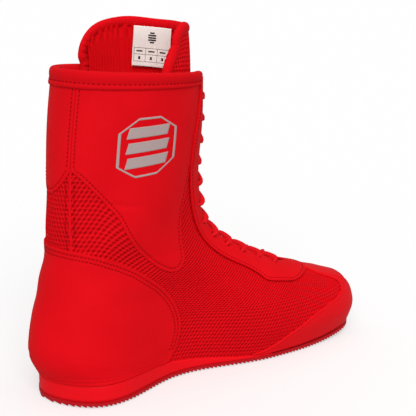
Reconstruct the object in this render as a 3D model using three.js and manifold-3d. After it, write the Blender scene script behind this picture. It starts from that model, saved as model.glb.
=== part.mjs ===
// High-top lace-up boxing boot, left foot, made for a 26 cm foot (EUR 41).
// Millimetres. +X points to the toe, +Y to the outer side of the foot, +Z up. The origin is on the
// ground, under the middle of the boot's box.
//
// Every layer of the upper follows one surface, the outer face of the upper. A place on it is a level
// (0 at the feather line, where upper meets sole, 9 at the collar's rim) and an angle round the foot
// in degrees (0 at the middle of the heel, 180 at the front, negative on the inner side). A layer is
// that surface moved along its normal by an inner and an outer offset.
import * as THREE from 'three';
import Module from 'manifold-3d';

const wasm = await Module();
wasm.setup();

// ---------------------------------------------------------------- driving dimensions

// One section of the boot per level: middle of the back and of the front as [x, z], how round the
// back and front ends are, and the half widths 36, 72, 108 and 144 degrees round from the back.
const SECTIONS = [
  { back: [1.5, 16.5], front: [274, 10], ends: [57, 54], half: [37.5, 30.5, 37.5, 26] },
  { back: [-4.5, 31], front: [279, 28.5], ends: [60, 55], half: [37, 31.5, 41.5, 29.5] },
  { back: [-4, 45], front: [267.5, 49.5], ends: [59, 50], half: [36, 32.5, 41, 27.5] },
  { back: [-1, 60], front: [234.5, 60], ends: [55, 42], half: [34, 33.5, 36.5, 24.5] },
  { back: [4, 76], front: [199, 72], ends: [50, 33], half: [31.5, 34, 33, 19] },
  { back: [7.5, 92], front: [161.5, 91.5], ends: [44, 28], half: [28.5, 34, 31, 15] },
  { back: [12, 110], front: [135.5, 117], ends: [40, 28], half: [26, 35, 31, 15] },
  { back: [13, 140], front: [129.5, 148.5], ends: [39, 30], half: [25, 36.5, 33, 17.5] },
  { back: [16, 185], front: [132, 190], ends: [40, 33], half: [26, 38.5, 36, 20.5] },
  { back: [23, 236], front: [131.5, 229.5], ends: [42, 38], half: [27, 40, 38.5, 23.5] },
];
const ORIGIN_X = 137.2; // middle of the boot's length, in the sections' own x
const ORIGIN_Y = -0.6; // middle of the boot's width, in the sections' own y

// Sole
const HEEL_TOP = 16.5; // height of the feather line at the heel
const WEDGE_DROP = 12; // how much lower it is at the ball
const WEDGE_FROM = 50;
const WEDGE_TO = 185;
const TOE_SPRING = 6;
const OUTSOLE = 4.2; // thickness of the tread sheet
const SOLE_PROUD = 1.5; // how far the sole stands out past the feather line

// Layers of the upper, as [inner, outer] offsets from the upper's outer face
const OVERLAY = [0.4, 1.4];
const EYESTAY = [0.8, 2.4];
const BASE = [-1.7, -0.7];
const STIFFENER = [-3.3, -2.6];
const LINING = [-5.2, -4.2];
const PRINT = [-0.2, 0.1];
const TONGUE = [-10, -7.4];
const TONGUE_LINING = [-11.3, -10.4];

const BOTTOM = 0.06; // level at which the layers of the upper start above the sole
const RIM = 8.97; // level at which they end under the collar binding
const SEAM = 0.25; // half the gap left between two panels that are sewn edge to edge
const REAR_SEAM = 28; // angle of the seam between the back and the side panels
const SEAM_ANGLE = 0.4; // half of that seam's gap, as an angle
const THROAT = 6.5; // half the gap between the two rows of lace holes' edges
const LACE_LINE = 10.5; // distance of the lace holes from the middle
const PANEL_EDGE = 14.2; // where the panels end under the eyestay
const HOLE_PAIRS = 12;
const HOLE_RADIUS = 3.3;
const HOLE_SIDES = 6;
const LACE_RADIUS = 1.2;
const FLAP_HEIGHT = 35; // the tongue's free end above the collar
const FLAP_GAP = 3; // clear of the collar's rim
const LABEL = { width: 29, height: 29, thick: 0.4, drop: 5 };

const vec = (x, y, z) => new THREE.Vector3(x, y, z);
const mix = (a, b, u) => a + (b - a) * u;
const clamp = (x, low, high) => Math.min(high, Math.max(low, x));
const rad = THREE.MathUtils.degToRad;
const ease = (a, b, x) => {
  const u = clamp((x - a) / (b - a), 0, 1);
  return u * u * (3 - 2 * u);
};

// ---------------------------------------------------------------- the boot's surface

const catmull = (a, b, c, d, u) =>
  0.5 * (2 * b + (c - a) * u + (2 * a - 5 * b + 4 * c - d) * u * u + (3 * b - a - 3 * c + d) * u ** 3);

// A value that runs smoothly through one number per level, and straight on past the ends
function alongLevels(values, t) {
  const last = values.length - 1;
  const i = clamp(Math.floor(t), 0, last - 1);
  const u = t - i;
  if (t < 0) return mix(values[0], values[1], u);
  if (t > last) return mix(values[last - 1], values[last], u);
  const before = i > 0 ? values[i - 1] : 2 * values[0] - values[1];
  const after = i < last - 1 ? values[i + 2] : 2 * values[last] - values[last - 1];
  return catmull(before, values[i], values[i + 1], after, u);
}

const WIDTH_STEP = 36;
function halfWidth(t, angle) {
  const a = Math.abs(angle);
  const fullness = [0, 1, 2, 3, 4, 5].map((k) => alongLevels(SECTIONS.map((s) => {
    if (k === 0) return s.ends[0];
    if (k === 5) return s.ends[1];
    return s.half[k - 1];
  }), t) / (k % 5 ? Math.sin(rad(k * WIDTH_STEP)) : 1));
  const s = a / WIDTH_STEP;
  const i = clamp(Math.floor(s), 0, 4);
  const at = (k) => fullness[k < 0 ? -k : k > 5 ? 10 - k : k];
  return catmull(at(i - 1), at(i), at(i + 1), at(i + 2), s - i) * Math.sin(rad(a));
}

const soleTop = (x) => HEEL_TOP - WEDGE_DROP * ease(WEDGE_FROM, WEDGE_TO, x)
  + TOE_SPRING * clamp((x - 200) / 75, 0, 2) ** 2;
const soleBottom = (x) => TOE_SPRING * clamp((x - 210) / 65, 0, 2) ** 2;

// The foot's middle line bends outward at the waist and in towards the toes
const BEND_WAIST = 5.5;
const BEND_TOE = -11.5;
function middle(x, t) {
  const low = 1 - ease(3, 7, t);
  return low * (BEND_WAIST * Math.exp(-(((x - 110) / 45) ** 2))
    + BEND_TOE * clamp((x - 150) / 120, 0, 1.1) ** 2);
}

const FEATHER_FADE = [1, 0.5, 0.2, 0, 0, 0, 0, 0, 0, 0];
const pick = (side, k, t) => alongLevels(SECTIONS.map((s) => s[side][k]), t);

function surface(t, angle) {
  const a = THREE.MathUtils.euclideanModulo(angle + 180, 360) - 180;
  const q = (1 - Math.cos(rad(a))) / 2;
  const x = mix(pick('back', 0, t), pick('front', 0, t), q);
  const flat = mix(SECTIONS[0].back[1], SECTIONS[0].front[1], q);
  const lift = alongLevels(FEATHER_FADE, t) * (soleTop(x) - flat);
  const z = mix(pick('back', 1, t), pick('front', 1, t), q) + lift;
  return vec(x - ORIGIN_X, middle(x, t) + Math.sign(a) * halfWidth(t, a) - ORIGIN_Y, z);
}

function slopes(t, angle) {
  const e = 1e-3;
  const d = 0.05;
  const up = surface(t + e, angle).sub(surface(t - e, angle)).divideScalar(2 * e);
  const round = surface(t, angle + d).sub(surface(t, angle - d)).divideScalar(2 * d);
  return { up, round, out: up.clone().cross(round).normalize() };
}

const onSurface = (t, angle, offset) => surface(t, angle).addScaledVector(slopes(t, angle).out, offset);

// The angle near the front at which the boot is this far from its middle line
function angleAt(t, distance, side) {
  let low = 110;
  let high = 180;
  for (let k = 0; k < 40; k += 1) {
    const half = (low + high) / 2;
    if (halfWidth(t, half) > distance) low = half;
    else high = half;
  }
  return side * low;
}

// ---------------------------------------------------------------- solids

// One closed body from triangles: equal corners become one, empty triangles go, faces point out
function closed(points, triangles) {
  const index = new Map();
  const corners = [];
  const of = points.map((p) => {
    const key = [p.x, p.y, p.z].map((c) => Math.round(c * 2000)).join();
    if (!index.has(key)) {
      index.set(key, corners.length);
      corners.push(p);
    }
    return index.get(key);
  });
  const kept = triangles.map((t) => t.map((k) => of[k]))
    .filter(([a, b, c]) => a !== b && b !== c && a !== c);
  const volume = kept.reduce((sum, [a, b, c]) => sum
    + corners[a].dot(corners[b].clone().cross(corners[c])), 0);
  const geometry = new THREE.BufferGeometry();
  geometry.setAttribute('position', new THREE.Float32BufferAttribute(
    corners.flatMap((p) => [p.x, p.y, p.z]), 3));
  geometry.setIndex(kept.flatMap(([a, b, c]) => (volume < 0 ? [a, c, b] : [a, b, c])));
  return geometry;
}

// A sheet with thickness: outer(i, j) and inner(i, j) give the corners of its two faces
function slab(cols, rows, outer, inner) {
  const points = [];
  const triangles = [];
  const quad = (a, b, c, d) => triangles.push([a, b, c], [a, c, d]);
  const at = (i, j, face) => 2 * (i * (rows + 1) + j) + face;
  for (let i = 0; i <= cols; i += 1) {
    for (let j = 0; j <= rows; j += 1) points.push(outer(i, j), inner(i, j));
  }
  for (let i = 0; i < cols; i += 1) {
    for (let j = 0; j < rows; j += 1) {
      quad(at(i, j, 0), at(i + 1, j, 0), at(i + 1, j + 1, 0), at(i, j + 1, 0));
      quad(at(i, j, 1), at(i, j + 1, 1), at(i + 1, j + 1, 1), at(i + 1, j, 1));
    }
  }
  for (let i = 0; i < cols; i += 1) {
    quad(at(i, 0, 0), at(i, 0, 1), at(i + 1, 0, 1), at(i + 1, 0, 0));
    quad(at(i, rows, 0), at(i + 1, rows, 0), at(i + 1, rows, 1), at(i, rows, 1));
  }
  for (let j = 0; j < rows; j += 1) {
    quad(at(0, j, 0), at(0, j + 1, 0), at(0, j + 1, 1), at(0, j, 1));
    quad(at(cols, j, 0), at(cols, j, 1), at(cols, j + 1, 1), at(cols, j + 1, 0));
  }
  return closed(points, triangles);
}

const ROW_GRADE = 1.25; // rows crowd towards a panel's top line, where the surface bends most

// A panel of the upper between a bottom and a top line, each a list of [level, angle]
function panel(bottom, top, rows, [inner, outer]) {
  const place = (i, j) => [0, 1].map((k) => mix(bottom[i][k], top[i][k], 1 - (1 - j / rows) ** ROW_GRADE));
  return slab(bottom.length - 1, rows,
    (i, j) => onSurface(...place(i, j), outer),
    (i, j) => onSurface(...place(i, j), inner));
}

// A bar of one section, ring by ring, closed at both ends by a flat lid
function sweep(rings) {
  const n = rings[0].length;
  const triangles = [];
  for (let i = 0; i + 1 < rings.length; i += 1) {
    for (let k = 0; k < n; k += 1) {
      const [a, b] = [i * n + k, i * n + ((k + 1) % n)];
      triangles.push([a, b, b + n], [a, b + n, a + n]);
    }
  }
  const ring = rings[0];
  const u = ring[1].clone().sub(ring[0]).normalize();
  const v = u.clone().cross(ring[n - 1].clone().sub(ring[0])).cross(u).normalize();
  const flat = ring.map((p) => new THREE.Vector2(p.clone().sub(ring[0]).dot(u), p.clone().sub(ring[0]).dot(v)));
  const lid = THREE.ShapeUtils.triangulateShape(flat, []);
  const runsForward = lid.some((face) => face[(face.indexOf(0) + 1) % 3] === 1 && face.includes(0));
  const start = runsForward ? lid.map(([a, b, c]) => [a, c, b]) : lid;
  const end = (rings.length - 1) * n;
  triangles.push(...start, ...start.map(([a, b, c]) => [end + a, end + c, end + b]));
  return closed(rings.flat(), triangles);
}

const tubeFrame = (tangent, near) => {
  const side = near.clone().addScaledVector(tangent, -near.dot(tangent)).normalize();
  return [side, tangent.clone().cross(side)];
};

// A round cord through a list of points
function cord(points, radius, sides) {
  let near = Math.abs(points[1].clone().sub(points[0]).normalize().z) < 0.9 ? vec(0, 0, 1) : vec(1, 0, 0);
  return sweep(points.map((p, i) => {
    const before = points[Math.max(0, i - 1)];
    const after = points[Math.min(points.length - 1, i + 1)];
    const [u, v] = tubeFrame(after.clone().sub(before).normalize(), near);
    near = u;
    return Array.from({ length: sides }, (_, k) => {
      const a = (k / sides) * 2 * Math.PI;
      return p.clone().addScaledVector(u, radius * Math.cos(a)).addScaledVector(v, radius * Math.sin(a));
    });
  }));
}

function toManifold(geometry) {
  return new wasm.Manifold(new wasm.Mesh({
    numProp: 3,
    vertProperties: Float32Array.from(geometry.attributes.position.array),
    triVerts: Uint32Array.from(geometry.index.array),
  }));
}

function cut(geometry, tools) {
  let solid = toManifold(geometry);
  for (const tool of tools) solid = solid.subtract(toManifold(tool));
  const mesh = solid.getMesh();
  const result = new THREE.BufferGeometry();
  result.setAttribute('position', new THREE.Float32BufferAttribute(mesh.vertProperties, 3));
  result.setIndex(Array.from(mesh.triVerts));
  return result;
}

// ---------------------------------------------------------------- lines on the surface

// A smooth line through [level, angle] points
function line(points, steps) {
  const curve = new THREE.SplineCurve(points.map(([t, a]) => new THREE.Vector2(t, a)));
  const n = (points.length - 1) * steps;
  return Array.from({ length: n + 1 }, (_, k) => curve.getPoint(k / n)).map((p) => [p.x, p.y]);
}

// The same line moved sideways over the surface by a distance in millimetres
function moved(points, distance) {
  return points.map(([t, angle], i) => {
    const before = points[Math.max(0, i - 1)];
    const after = points[Math.min(points.length - 1, i + 1)];
    const { up, round, out } = slopes(t, angle);
    const along = surface(...after).sub(surface(...before)).normalize();
    const across = out.clone().cross(along).multiplyScalar(distance);
    const [a, b, c] = [up.dot(up), up.dot(round), round.dot(round)];
    const [d, e] = [up.dot(across), round.dot(across)];
    const det = a * c - b * b;
    return [t + (c * d - b * e) / det, angle + (a * e - b * d) / det];
  });
}

const mirrored = (points) => points.map(([t, a]) => [t, -a]);
const roundTheFront = (points) => [...points, ...points.slice(0, -1).reverse().map(([t, a]) => [t, -360 - a])];

// Edge of the shaft's side panel on the inner side, from the rear seam down round its lobe to the
// eyestay, then down the throat under the eyestay to the middle of the vamp. Each point has the
// angle at the feather line that lies under it.
const throatPoint = (t, below) => ({ at: [t, angleAt(t, PANEL_EDGE, -1)], below });
const LOBE = [
  { at: [7.67, -28], below: -28 },
  { at: [7.55, -37], below: -36 },
  { at: [7.38, -46], below: -44 },
  { at: [7.15, -56], below: -52 },
  { at: [6.8, -67], below: -60 },
  { at: [6.3, -74], below: -66 },
  { at: [5.6, -83], below: -73 },
  { at: [5.05, -88.5], below: -79 },
  { at: [4.78, -93], below: -85 },
  { at: [4.82, -99], below: -90 },
  { at: [5.2, -108], below: -96 },
  { at: [6.5, -125], below: -103 },
  { at: [7.1, -135], below: -109 },
  throatPoint(7.3, -114),
];
const THROAT_LINE = [
  throatPoint(6.9, -116),
  throatPoint(6.5, -119),
  throatPoint(6.1, -122),
  throatPoint(5.7, -125),
  throatPoint(5.3, -129),
  throatPoint(4.9, -134),
  throatPoint(4.5, -140),
  throatPoint(4.15, -146),
  throatPoint(3.8, -152),
  { at: [3.45, -161], below: -160 },
  { at: [3.32, -170], below: -170 },
  { at: [3.3, -180], below: -180 },
];

const clearSeam = (points) => points.map(([t, a]) => [t, a - SEAM_ANGLE]);
const vampTop = clearSeam([...LOBE, ...THROAT_LINE].map((p) => p.at));
const vampBottom = clearSeam([...LOBE, ...THROAT_LINE].map((p) => [BOTTOM, p.below]));
vampTop[vampTop.length - 1][1] = -180;
vampBottom[vampBottom.length - 1][1] = -180;
const lobe = vampTop.slice(0, LOBE.length);

// ---------------------------------------------------------------- sole

// A plate of the sole between two heights, out to a distance past the feather line
function solePlate(proud, low, high, to = 180, cols = 20) {
  const across = 4;
  const edge = (a, side) => {
    const along = surface(0, side * (a + 0.2)).sub(surface(0, side * (a - 0.2))).setZ(0).normalize();
    return surface(0, side * a).add(vec(-along.y, along.x, 0).multiplyScalar(side * proud));
  };
  const place = (i, j, height) => {
    const a = (to * i) / cols;
    const tip = a === 0 ? -1 : 1;
    const p = a % 180 === 0
      ? surface(0, a).add(vec(tip * proud, 0, 0))
      : edge(a, -1).lerp(edge(a, 1), j / across);
    return p.setZ(height(p.x + ORIGIN_X));
  };
  return slab(cols, across, (i, j) => place(i, j, high), (i, j) => place(i, j, low));
}

const WEDGE_END = 108; // angle at which the heel wedge has run out
const outsole = () => solePlate(SOLE_PROUD, soleBottom, (x) => soleBottom(x) + OUTSOLE);
const heelWedge = () => solePlate(SOLE_PROUD - 0.5, (x) => soleBottom(x) + OUTSOLE + 0.3,
  (x) => Math.max(soleTop(x) - 0.1, soleBottom(x) + OUTSOLE + 0.9), WEDGE_END, 14);
const insoleBoard = () => solePlate(-7.5, (x) => soleTop(x) + 0.9, (x) => soleTop(x) + 2.4);
const sockLiner = () => solePlate(-8.5, (x) => soleTop(x) + 2.8, (x) => soleTop(x) + 6.3);

// ---------------------------------------------------------------- upper

const vampMesh = () => panel(roundTheFront(vampBottom), roundTheFront(moved(vampTop, -SEAM)), 9, BASE);

// Between the rear seams: the stiff back panel above, soft mesh below it
const BACK_EDGE_MIDDLE = 7.3;
const BACK_EDGE_SIDE = 7.67;
const BACK_COLS = 8;
const backAngle = (i) => mix(-1, 1, i / BACK_COLS) * (REAR_SEAM - SEAM_ANGLE);
const backLine = (height) => Array.from({ length: BACK_COLS + 1 }, (_, i) => {
  const a = backAngle(i);
  return [height(a), a];
});
const backEdge = (a) => mix(BACK_EDGE_MIDDLE, BACK_EDGE_SIDE, (a / REAR_SEAM) ** 2);
const rearMesh = () => panel(backLine(() => BOTTOM), backLine((a) => backEdge(a) - 0.01), 9, BASE);
const backPanel = () => panel(backLine((a) => backEdge(a) + 0.01), backLine(() => RIM), 2, BASE);

function shaftPanel(side) {
  const edge = moved(lobe, SEAM);
  const front = angleAt(RIM, PANEL_EDGE, -1);
  const rim = edge.map((_, i) => [RIM, mix(-REAR_SEAM - SEAM_ANGLE, front, i / (edge.length - 1))]);
  return side < 0 ? panel(edge, rim, 4, BASE) : panel(mirrored(edge), mirrored(rim), 4, BASE);
}

// Round shield of the heel: its top line sinks towards the front, its front edge bulges at half height
const COUNTER_FRONT = [69.5, 74.5, 77, 80.5, 82, 77, 70];
function counter(scale, [inner, outer], cols, rows) {
  const top = (s) => (6.15 - 1.12 * Math.abs(s) ** 3) * scale;
  const place = (i, j) => {
    const s = mix(-1, 1, i / cols);
    const t = mix(BOTTOM + 0.04, top(s), j / rows);
    return [t, s * scale * alongLevels(COUNTER_FRONT, t)];
  };
  return slab(cols, rows, (i, j) => onSurface(...place(i, j), outer), (i, j) => onSurface(...place(i, j), inner));
}

// Toe cap: low along the inner and outer sides, up over the toe, and back along the ridge of the vamp
const TOE_EDGE = [
  { at: [0.35, -106], below: -101 },
  { at: [0.64, -113], below: -108 },
  { at: [0.95, -119], below: -116 },
  { at: [1.22, -126], below: -125 },
  { at: [1.4, -135], below: -135 },
  { at: [1.5, -144], below: -144 },
  { at: [1.68, -151], below: -152 },
  { at: [1.95, -154], below: -158 },
  { at: [2.3, -155], below: -163 },
  { at: [2.65, -158], below: -168 },
  { at: [2.88, -164], below: -173 },
  { at: [2.9, -172], below: -177 },
  { at: [2.9, -180], below: -180 },
];
function toeCap() {
  const top = line(TOE_EDGE.map((p) => p.at), 1);
  const bottom = line(TOE_EDGE.map((p) => [BOTTOM + 0.04, p.below]), 1);
  return panel(roundTheFront(bottom), roundTheFront(top), 7, OVERLAY);
}

function toePuff() {
  const edge = [[0.4, -128], [1.2, -138], [1.7, -150], [1.85, -160], [1.9, -170], [1.9, -180]];
  const low = edge.map(([, a]) => [BOTTOM + 0.04, a]);
  return panel(roundTheFront(line(low, 2)), roundTheFront(line(edge, 2)), 4, STIFFENER);
}

// The lining goes right round the foot and up the shaft, open at the throat
function lining() {
  const angles = [0, -14, -28, -42, -56, -70, -84, -98, -112, -124, -134, -142];
  const under = [0, -11, -22, -33, -44, -54, -63, -72, -80, -86, -91, -95];
  const rim = angles.map((a) => [RIM, a]);
  const edge = [RIM, 8.6, 8.2, 7.7, 7.3, 6.9, 6.5, 6.1, 5.7, 5.3, 4.9, 4.5, 4.15, 3.8].map((t) => [t, angleAt(t, PANEL_EDGE + 1, -1)]);
  const below = [-98, -101, -104, -108, -112, -116, -119, -122, -125, -129, -134, -140, -146, -152];
  const tip = [[3.45, -161], [3.32, -170], [3.3, -180]];
  const tipBelow = [-158, -169, -180];
  const top = [...rim, ...edge, ...tip];
  const bottom = [...under, ...below, ...tipBelow].map((a) => [BOTTOM, a]);
  return panel(roundTheFront(bottom), roundTheFront(top), 10, LINING);
}

// ---------------------------------------------------------------- eyestay, holes and lace

// Distance of the eyestay's outer edge from the middle, by level
const EYESTAY_EDGE = [
  [8.74, 22], [8.2, 24], [7.7, 24], [7.2, 21], [6.7, 18.5], [6.3, 17], [5.9, 16.5], [5.6, 17],
  [5.3, 17.8], [5, 18.8], [4.6, 20.5], [4.1, 23], [3.7, 26.5], [3.3, 30.5],
];
const EYESTAY_TIP = [[3.02, -132], [2.88, -136], [2.9, -142], [2.98, -152], [3.05, -166], [3.06, -180]];
const THROAT_TIP = [[3.75, 6.5], [3.66, 5.5], [3.6, 4], [3.57, 2]];
function eyestaySheet() {
  const leg = EYESTAY_EDGE.map(([t, w]) => [t, angleAt(t, w, -1)]);
  const outside = line([...leg, ...EYESTAY_TIP], 1);
  const legTop = [8.74, 8.2, 7.7, 7.2, 6.7, 6.3, 5.9, 5.6, 5.3, 5.05, 4.75, 4.4, 4.15, 3.95, 3.85];
  const inside = line([
    ...legTop.map((t) => [t, angleAt(t, THROAT, -1)]),
    ...THROAT_TIP.map(([t, w]) => [t, angleAt(t, w, -1)]), [3.56, -180]], 1);
  return panel(roundTheFront(outside), roundTheFront(inside), 3, EYESTAY);
}

// The rows of holes are evenly spaced along the throat
const HOLE_LOW = 3.85;
const HOLE_HIGH = 8.5;
function holeLevels() {
  const count = 200;
  const ts = Array.from({ length: count + 1 }, (_, k) => mix(HOLE_LOW, HOLE_HIGH, k / count));
  const run = [0];
  ts.slice(1).forEach((t, k) => run.push(run[k] + surface(t, 165).distanceTo(surface(ts[k], 165))));
  return Array.from({ length: HOLE_PAIRS }, (_, k) => {
    const want = (run[count] * k) / (HOLE_PAIRS - 1);
    return ts[Math.max(0, run.findIndex((r) => r >= want - 1e-6))];
  });
}
const HOLES = holeLevels();

const nearFront = (t, distance, side, offset) => onSurface(t, angleAt(t, distance, side), offset);

function holeTool(t, side) {
  const angle = angleAt(t, LACE_LINE, side);
  const tool = new THREE.CylinderGeometry(HOLE_RADIUS, HOLE_RADIUS, 8, HOLE_SIDES).toNonIndexed();
  const turn = new THREE.Quaternion().setFromUnitVectors(vec(0, 1, 0), slopes(t, angle).out);
  tool.applyQuaternion(turn);
  const centre = onSurface(t, angle, 1);
  tool.translate(centre.x, centre.y, centre.z);
  const p = tool.attributes.position;
  const points = Array.from({ length: p.count }, (_, k) => vec(p.getX(k), p.getY(k), p.getZ(k)));
  return closed(points, points.filter((_, k) => k % 3 === 0).map((_, k) => [3 * k, 3 * k + 1, 3 * k + 2]));
}

const eyestay = () => cut(eyestaySheet(), HOLES.flatMap((t) => [holeTool(t, -1), holeTool(t, 1)]));

// Heights of the lace over the surface as it goes through a hole, over an edge and across the tongue
const LACE = { under: -2.2, low: -1.5, inHole: 1.4, above: 4.6, overEdge: 5.2, crossOver: 2.6, crossUnder: -0.6 };
const TUCK = { depth: -4.9, run: [0.3, 0.7, 1.1, 1.5, 1.9] };

// One strand from its lowest hole up to its highest, crossing the tongue between each pair
function strand(side, goesOver) {
  const points = [];
  HOLES.forEach((t, i) => {
    const here = i % 2 ? -side : side;
    points.push(nearFront(t, LACE_LINE + 0.5, here, LACE.low));
    points.push(nearFront(t, LACE_LINE + 0.4, here, LACE.inHole));
    points.push(nearFront(t, LACE_LINE - 0.4, here, LACE.above));
    if (i === HOLE_PAIRS - 1) return;
    const next = HOLES[i + 1];
    points.push(nearFront(mix(t, next, 0.14), THROAT + 0.4, here, LACE.overEdge));
    const over = goesOver === (i % 2 === 0);
    points.push(onSurface(mix(t, next, 0.5), 180, over ? LACE.crossOver : LACE.crossUnder));
    points.push(nearFront(mix(t, next, 0.72), 3.8, -here, LACE.under + (over ? 1 : 0.4)));
    points.push(nearFront(mix(t, next, 0.88), THROAT + 0.8, -here, LACE.under));
  });
  return points;
}

// Past the top hole each end turns over the edge and is tucked down beside the tongue
function tuckedEnd(side) {
  const top = HOLES[HOLE_PAIRS - 1];
  return [
    nearFront(top + 0.06, 6.4, side, LACE.overEdge),
    nearFront(top + 0.06, 4.2, side, 1.2),
    nearFront(top, 4.6, side, -2),
    nearFront(top - 0.12, 6.6, side, TUCK.depth),
    ...TUCK.run.map((d) => nearFront(top - d, 9.4, side, TUCK.depth)),
  ];
}

function laceRoute() {
  const endSide = HOLE_PAIRS % 2 ? 1 : -1;
  const inner = [...strand(-1, true), ...tuckedEnd(-endSide)];
  const outer = [...strand(1, false), ...tuckedEnd(endSide)];
  const bar = [
    nearFront(HOLES[0], THROAT, -1, LACE.under),
    onSurface(HOLES[0], 180, LACE.under),
    nearFront(HOLES[0], THROAT, 1, LACE.under),
  ];
  return [...inner.reverse(), ...bar, ...outer];
}

function aglet(side) {
  const top = HOLES[HOLE_PAIRS - 1];
  const from = top - TUCK.run[TUCK.run.length - 1];
  const levels = [from - 0.012, from - 0.2, from - 0.4];
  return cord(levels.map((t) => nearFront(t, 9.4, side, TUCK.depth)), LACE_RADIUS, 8);
}

// ---------------------------------------------------------------- collar and tongue

// The binding folds over the rim: an outer leg, a rounded top and an inner leg
const COLLAR_SECTION = [
  [1.3, 8.77], [1.3, 9.02], [0.6, 9.045], [-1, 9.055], [-4.8, 9.055], [-6.2, 9.045], [-6.9, 9.02],
  [-6.9, 8.77], [-6.0, 8.77], [-6.0, 9.0], [0.3, 9.0], [0.3, 8.77],
];
function collarBinding() {
  const end = angleAt(9, 15, 1);
  const count = 28;
  return sweep(Array.from({ length: count + 1 }, (_, k) => {
    const a = mix(-end, end, k / count);
    return COLLAR_SECTION.map(([offset, t]) => onSurface(t, a, offset));
  }));
}

// The tongue wraps further round the outer side than the inner side, more so towards its top
const TONGUE_LOW = { level: 3.75, from: 150, to: 210 };
const TONGUE_HIGH = { from: 66, to: 256 };
const TONGUE_COLS = 16;
const TONGUE_BULGE = 3; // rises between the two rows of holes
const tongueFrom = (t) => mix(TONGUE_LOW.from, TONGUE_HIGH.from, ease(3.5, 9, t) ** 0.8);
const tongueTo = (t) => mix(TONGUE_LOW.to, TONGUE_HIGH.to, ease(3.5, 9, t) ** 0.8);
const bulge = (t, angle) => TONGUE_BULGE * (1 - ease(7.6, 8.6, t)) * (1 - ease(8, 19, Math.abs(angle - 180)));

function tongueBase([inner, outer], inset) {
  const rows = 11;
  const place = (i, j) => {
    const t = mix(TONGUE_LOW.level, 9, j / rows);
    return [t, mix(tongueFrom(t) + inset, tongueTo(t) - inset, i / TONGUE_COLS)];
  };
  const point = (i, j, offset) => {
    const [t, a] = place(i, j);
    return onSurface(t, a, offset + bulge(t, a));
  };
  return slab(TONGUE_COLS, rows, (i, j) => point(i, j, outer), (i, j) => point(i, j, inner));
}

// The free end stands straight up from the tongue's top line
const FLAP_COLS = 16;
function flapPoint(across, height, offset) {
  const p = onSurface(9, mix(TONGUE_HIGH.from, TONGUE_HIGH.to, across), offset);
  return p.setZ(p.z + FLAP_GAP + height);
}
const CORNER = 0.17; // share of the width taken by each round top corner
function flapTop(across) {
  const near = Math.min(across, 1 - across) / CORNER;
  const round = near >= 1 ? 1 : Math.sqrt(1 - (1 - near) ** 2);
  return (FLAP_HEIGHT - FLAP_GAP) * mix(0.42, 1, round);
}
const BINDING_RADIUS = 2.6;
const BINDING_REACH = 3.2; // the sheet ends this far inside the binding's middle line
function flapSheet([inner, outer]) {
  const rows = 4;
  const across = (i) => mix(0.03, 0.97, i / FLAP_COLS);
  const height = (i, j) => mix(0, flapTop(across(i)) - BINDING_REACH - 1.2, j / rows);
  return slab(FLAP_COLS, rows,
    (i, j) => flapPoint(across(i), height(i, j), outer),
    (i, j) => flapPoint(across(i), height(i, j), inner));
}

function tongueBinding() {
  const middleOffset = (TONGUE[0] + TONGUE[1]) / 2;
  const places = [[0, 1], [0, 7]];
  const count = 22;
  for (let k = 0; k <= count; k += 1) {
    const across = (1 - Math.cos((Math.PI * k) / count)) / 2;
    places.push([across, flapTop(across)]);
  }
  places.push([1, 7], [1, 1]);
  const route = places.map(([a, h]) => flapPoint(a, h + 1, middleOffset));
  return cord(route, BINDING_RADIUS, 8);
}

// Sewn size label on the tongue's inner face
const LABEL_ANGLE = 135;
const LABEL_CLEAR = 4; // the flat label spans the tongue's curve
function sizeLabel() {
  const offset = TONGUE_LINING[0] - 0.8;
  const base = onSurface(9, LABEL_ANGLE, offset);
  const { out } = slopes(9, LABEL_ANGLE);
  const away = vec(out.x, out.y, 0).normalize();
  const geometry = new THREE.BoxGeometry(LABEL.thick, LABEL.width, LABEL.height);
  geometry.rotateZ(Math.atan2(away.y, away.x));
  const top = base.z + FLAP_HEIGHT - LABEL.drop;
  geometry.translate(base.x - away.x * LABEL_CLEAR, base.y - away.y * LABEL_CLEAR, top - LABEL.height / 2);
  return geometry;
}

// Printed badge on each side of the shaft: a plain six-sided field
const BADGE = { level: 7.92, angle: 87, up: 0.46, round: 25 };
function badge(side) {
  const cols = 6;
  const rim = (s) => (Math.abs(s) < 0.5 ? 1 : mix(1, 0.45, (Math.abs(s) - 0.5) / 0.5));
  const edge = (sign) => Array.from({ length: cols + 1 }, (_, i) => {
    const s = mix(-1, 1, i / cols);
    return [BADGE.level + sign * BADGE.up * rim(s), side * (BADGE.angle + BADGE.round * s)];
  });
  return panel(edge(-1), edge(1), 3, PRINT);
}

// ---------------------------------------------------------------- materials and assembly

const material = (color, roughness) => new THREE.MeshStandardMaterial({ color, roughness, metalness: 0 });
const finish = {
  rubber: () => material(0xa8101a, 0.6),
  sidewall: () => material(0xd8141e, 0.5),
  mesh: () => material(0xd01018, 0.8),
  overlay: () => material(0xd9131c, 0.5),
  lining: () => material(0xb80e16, 0.9),
  cord: () => material(0xc81018, 0.75),
  board: () => material(0xcabfa8, 0.9),
  stiffener: () => material(0xe8e4da, 0.7),
  label: () => material(0xede0d8, 0.85),
  print: () => material(0xb3a9a9, 0.5),
};

const boot = new THREE.Group();
function add(name, geometry, look) {
  const piece = new THREE.Mesh(geometry, look);
  piece.name = name;
  boot.add(piece);
}

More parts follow.
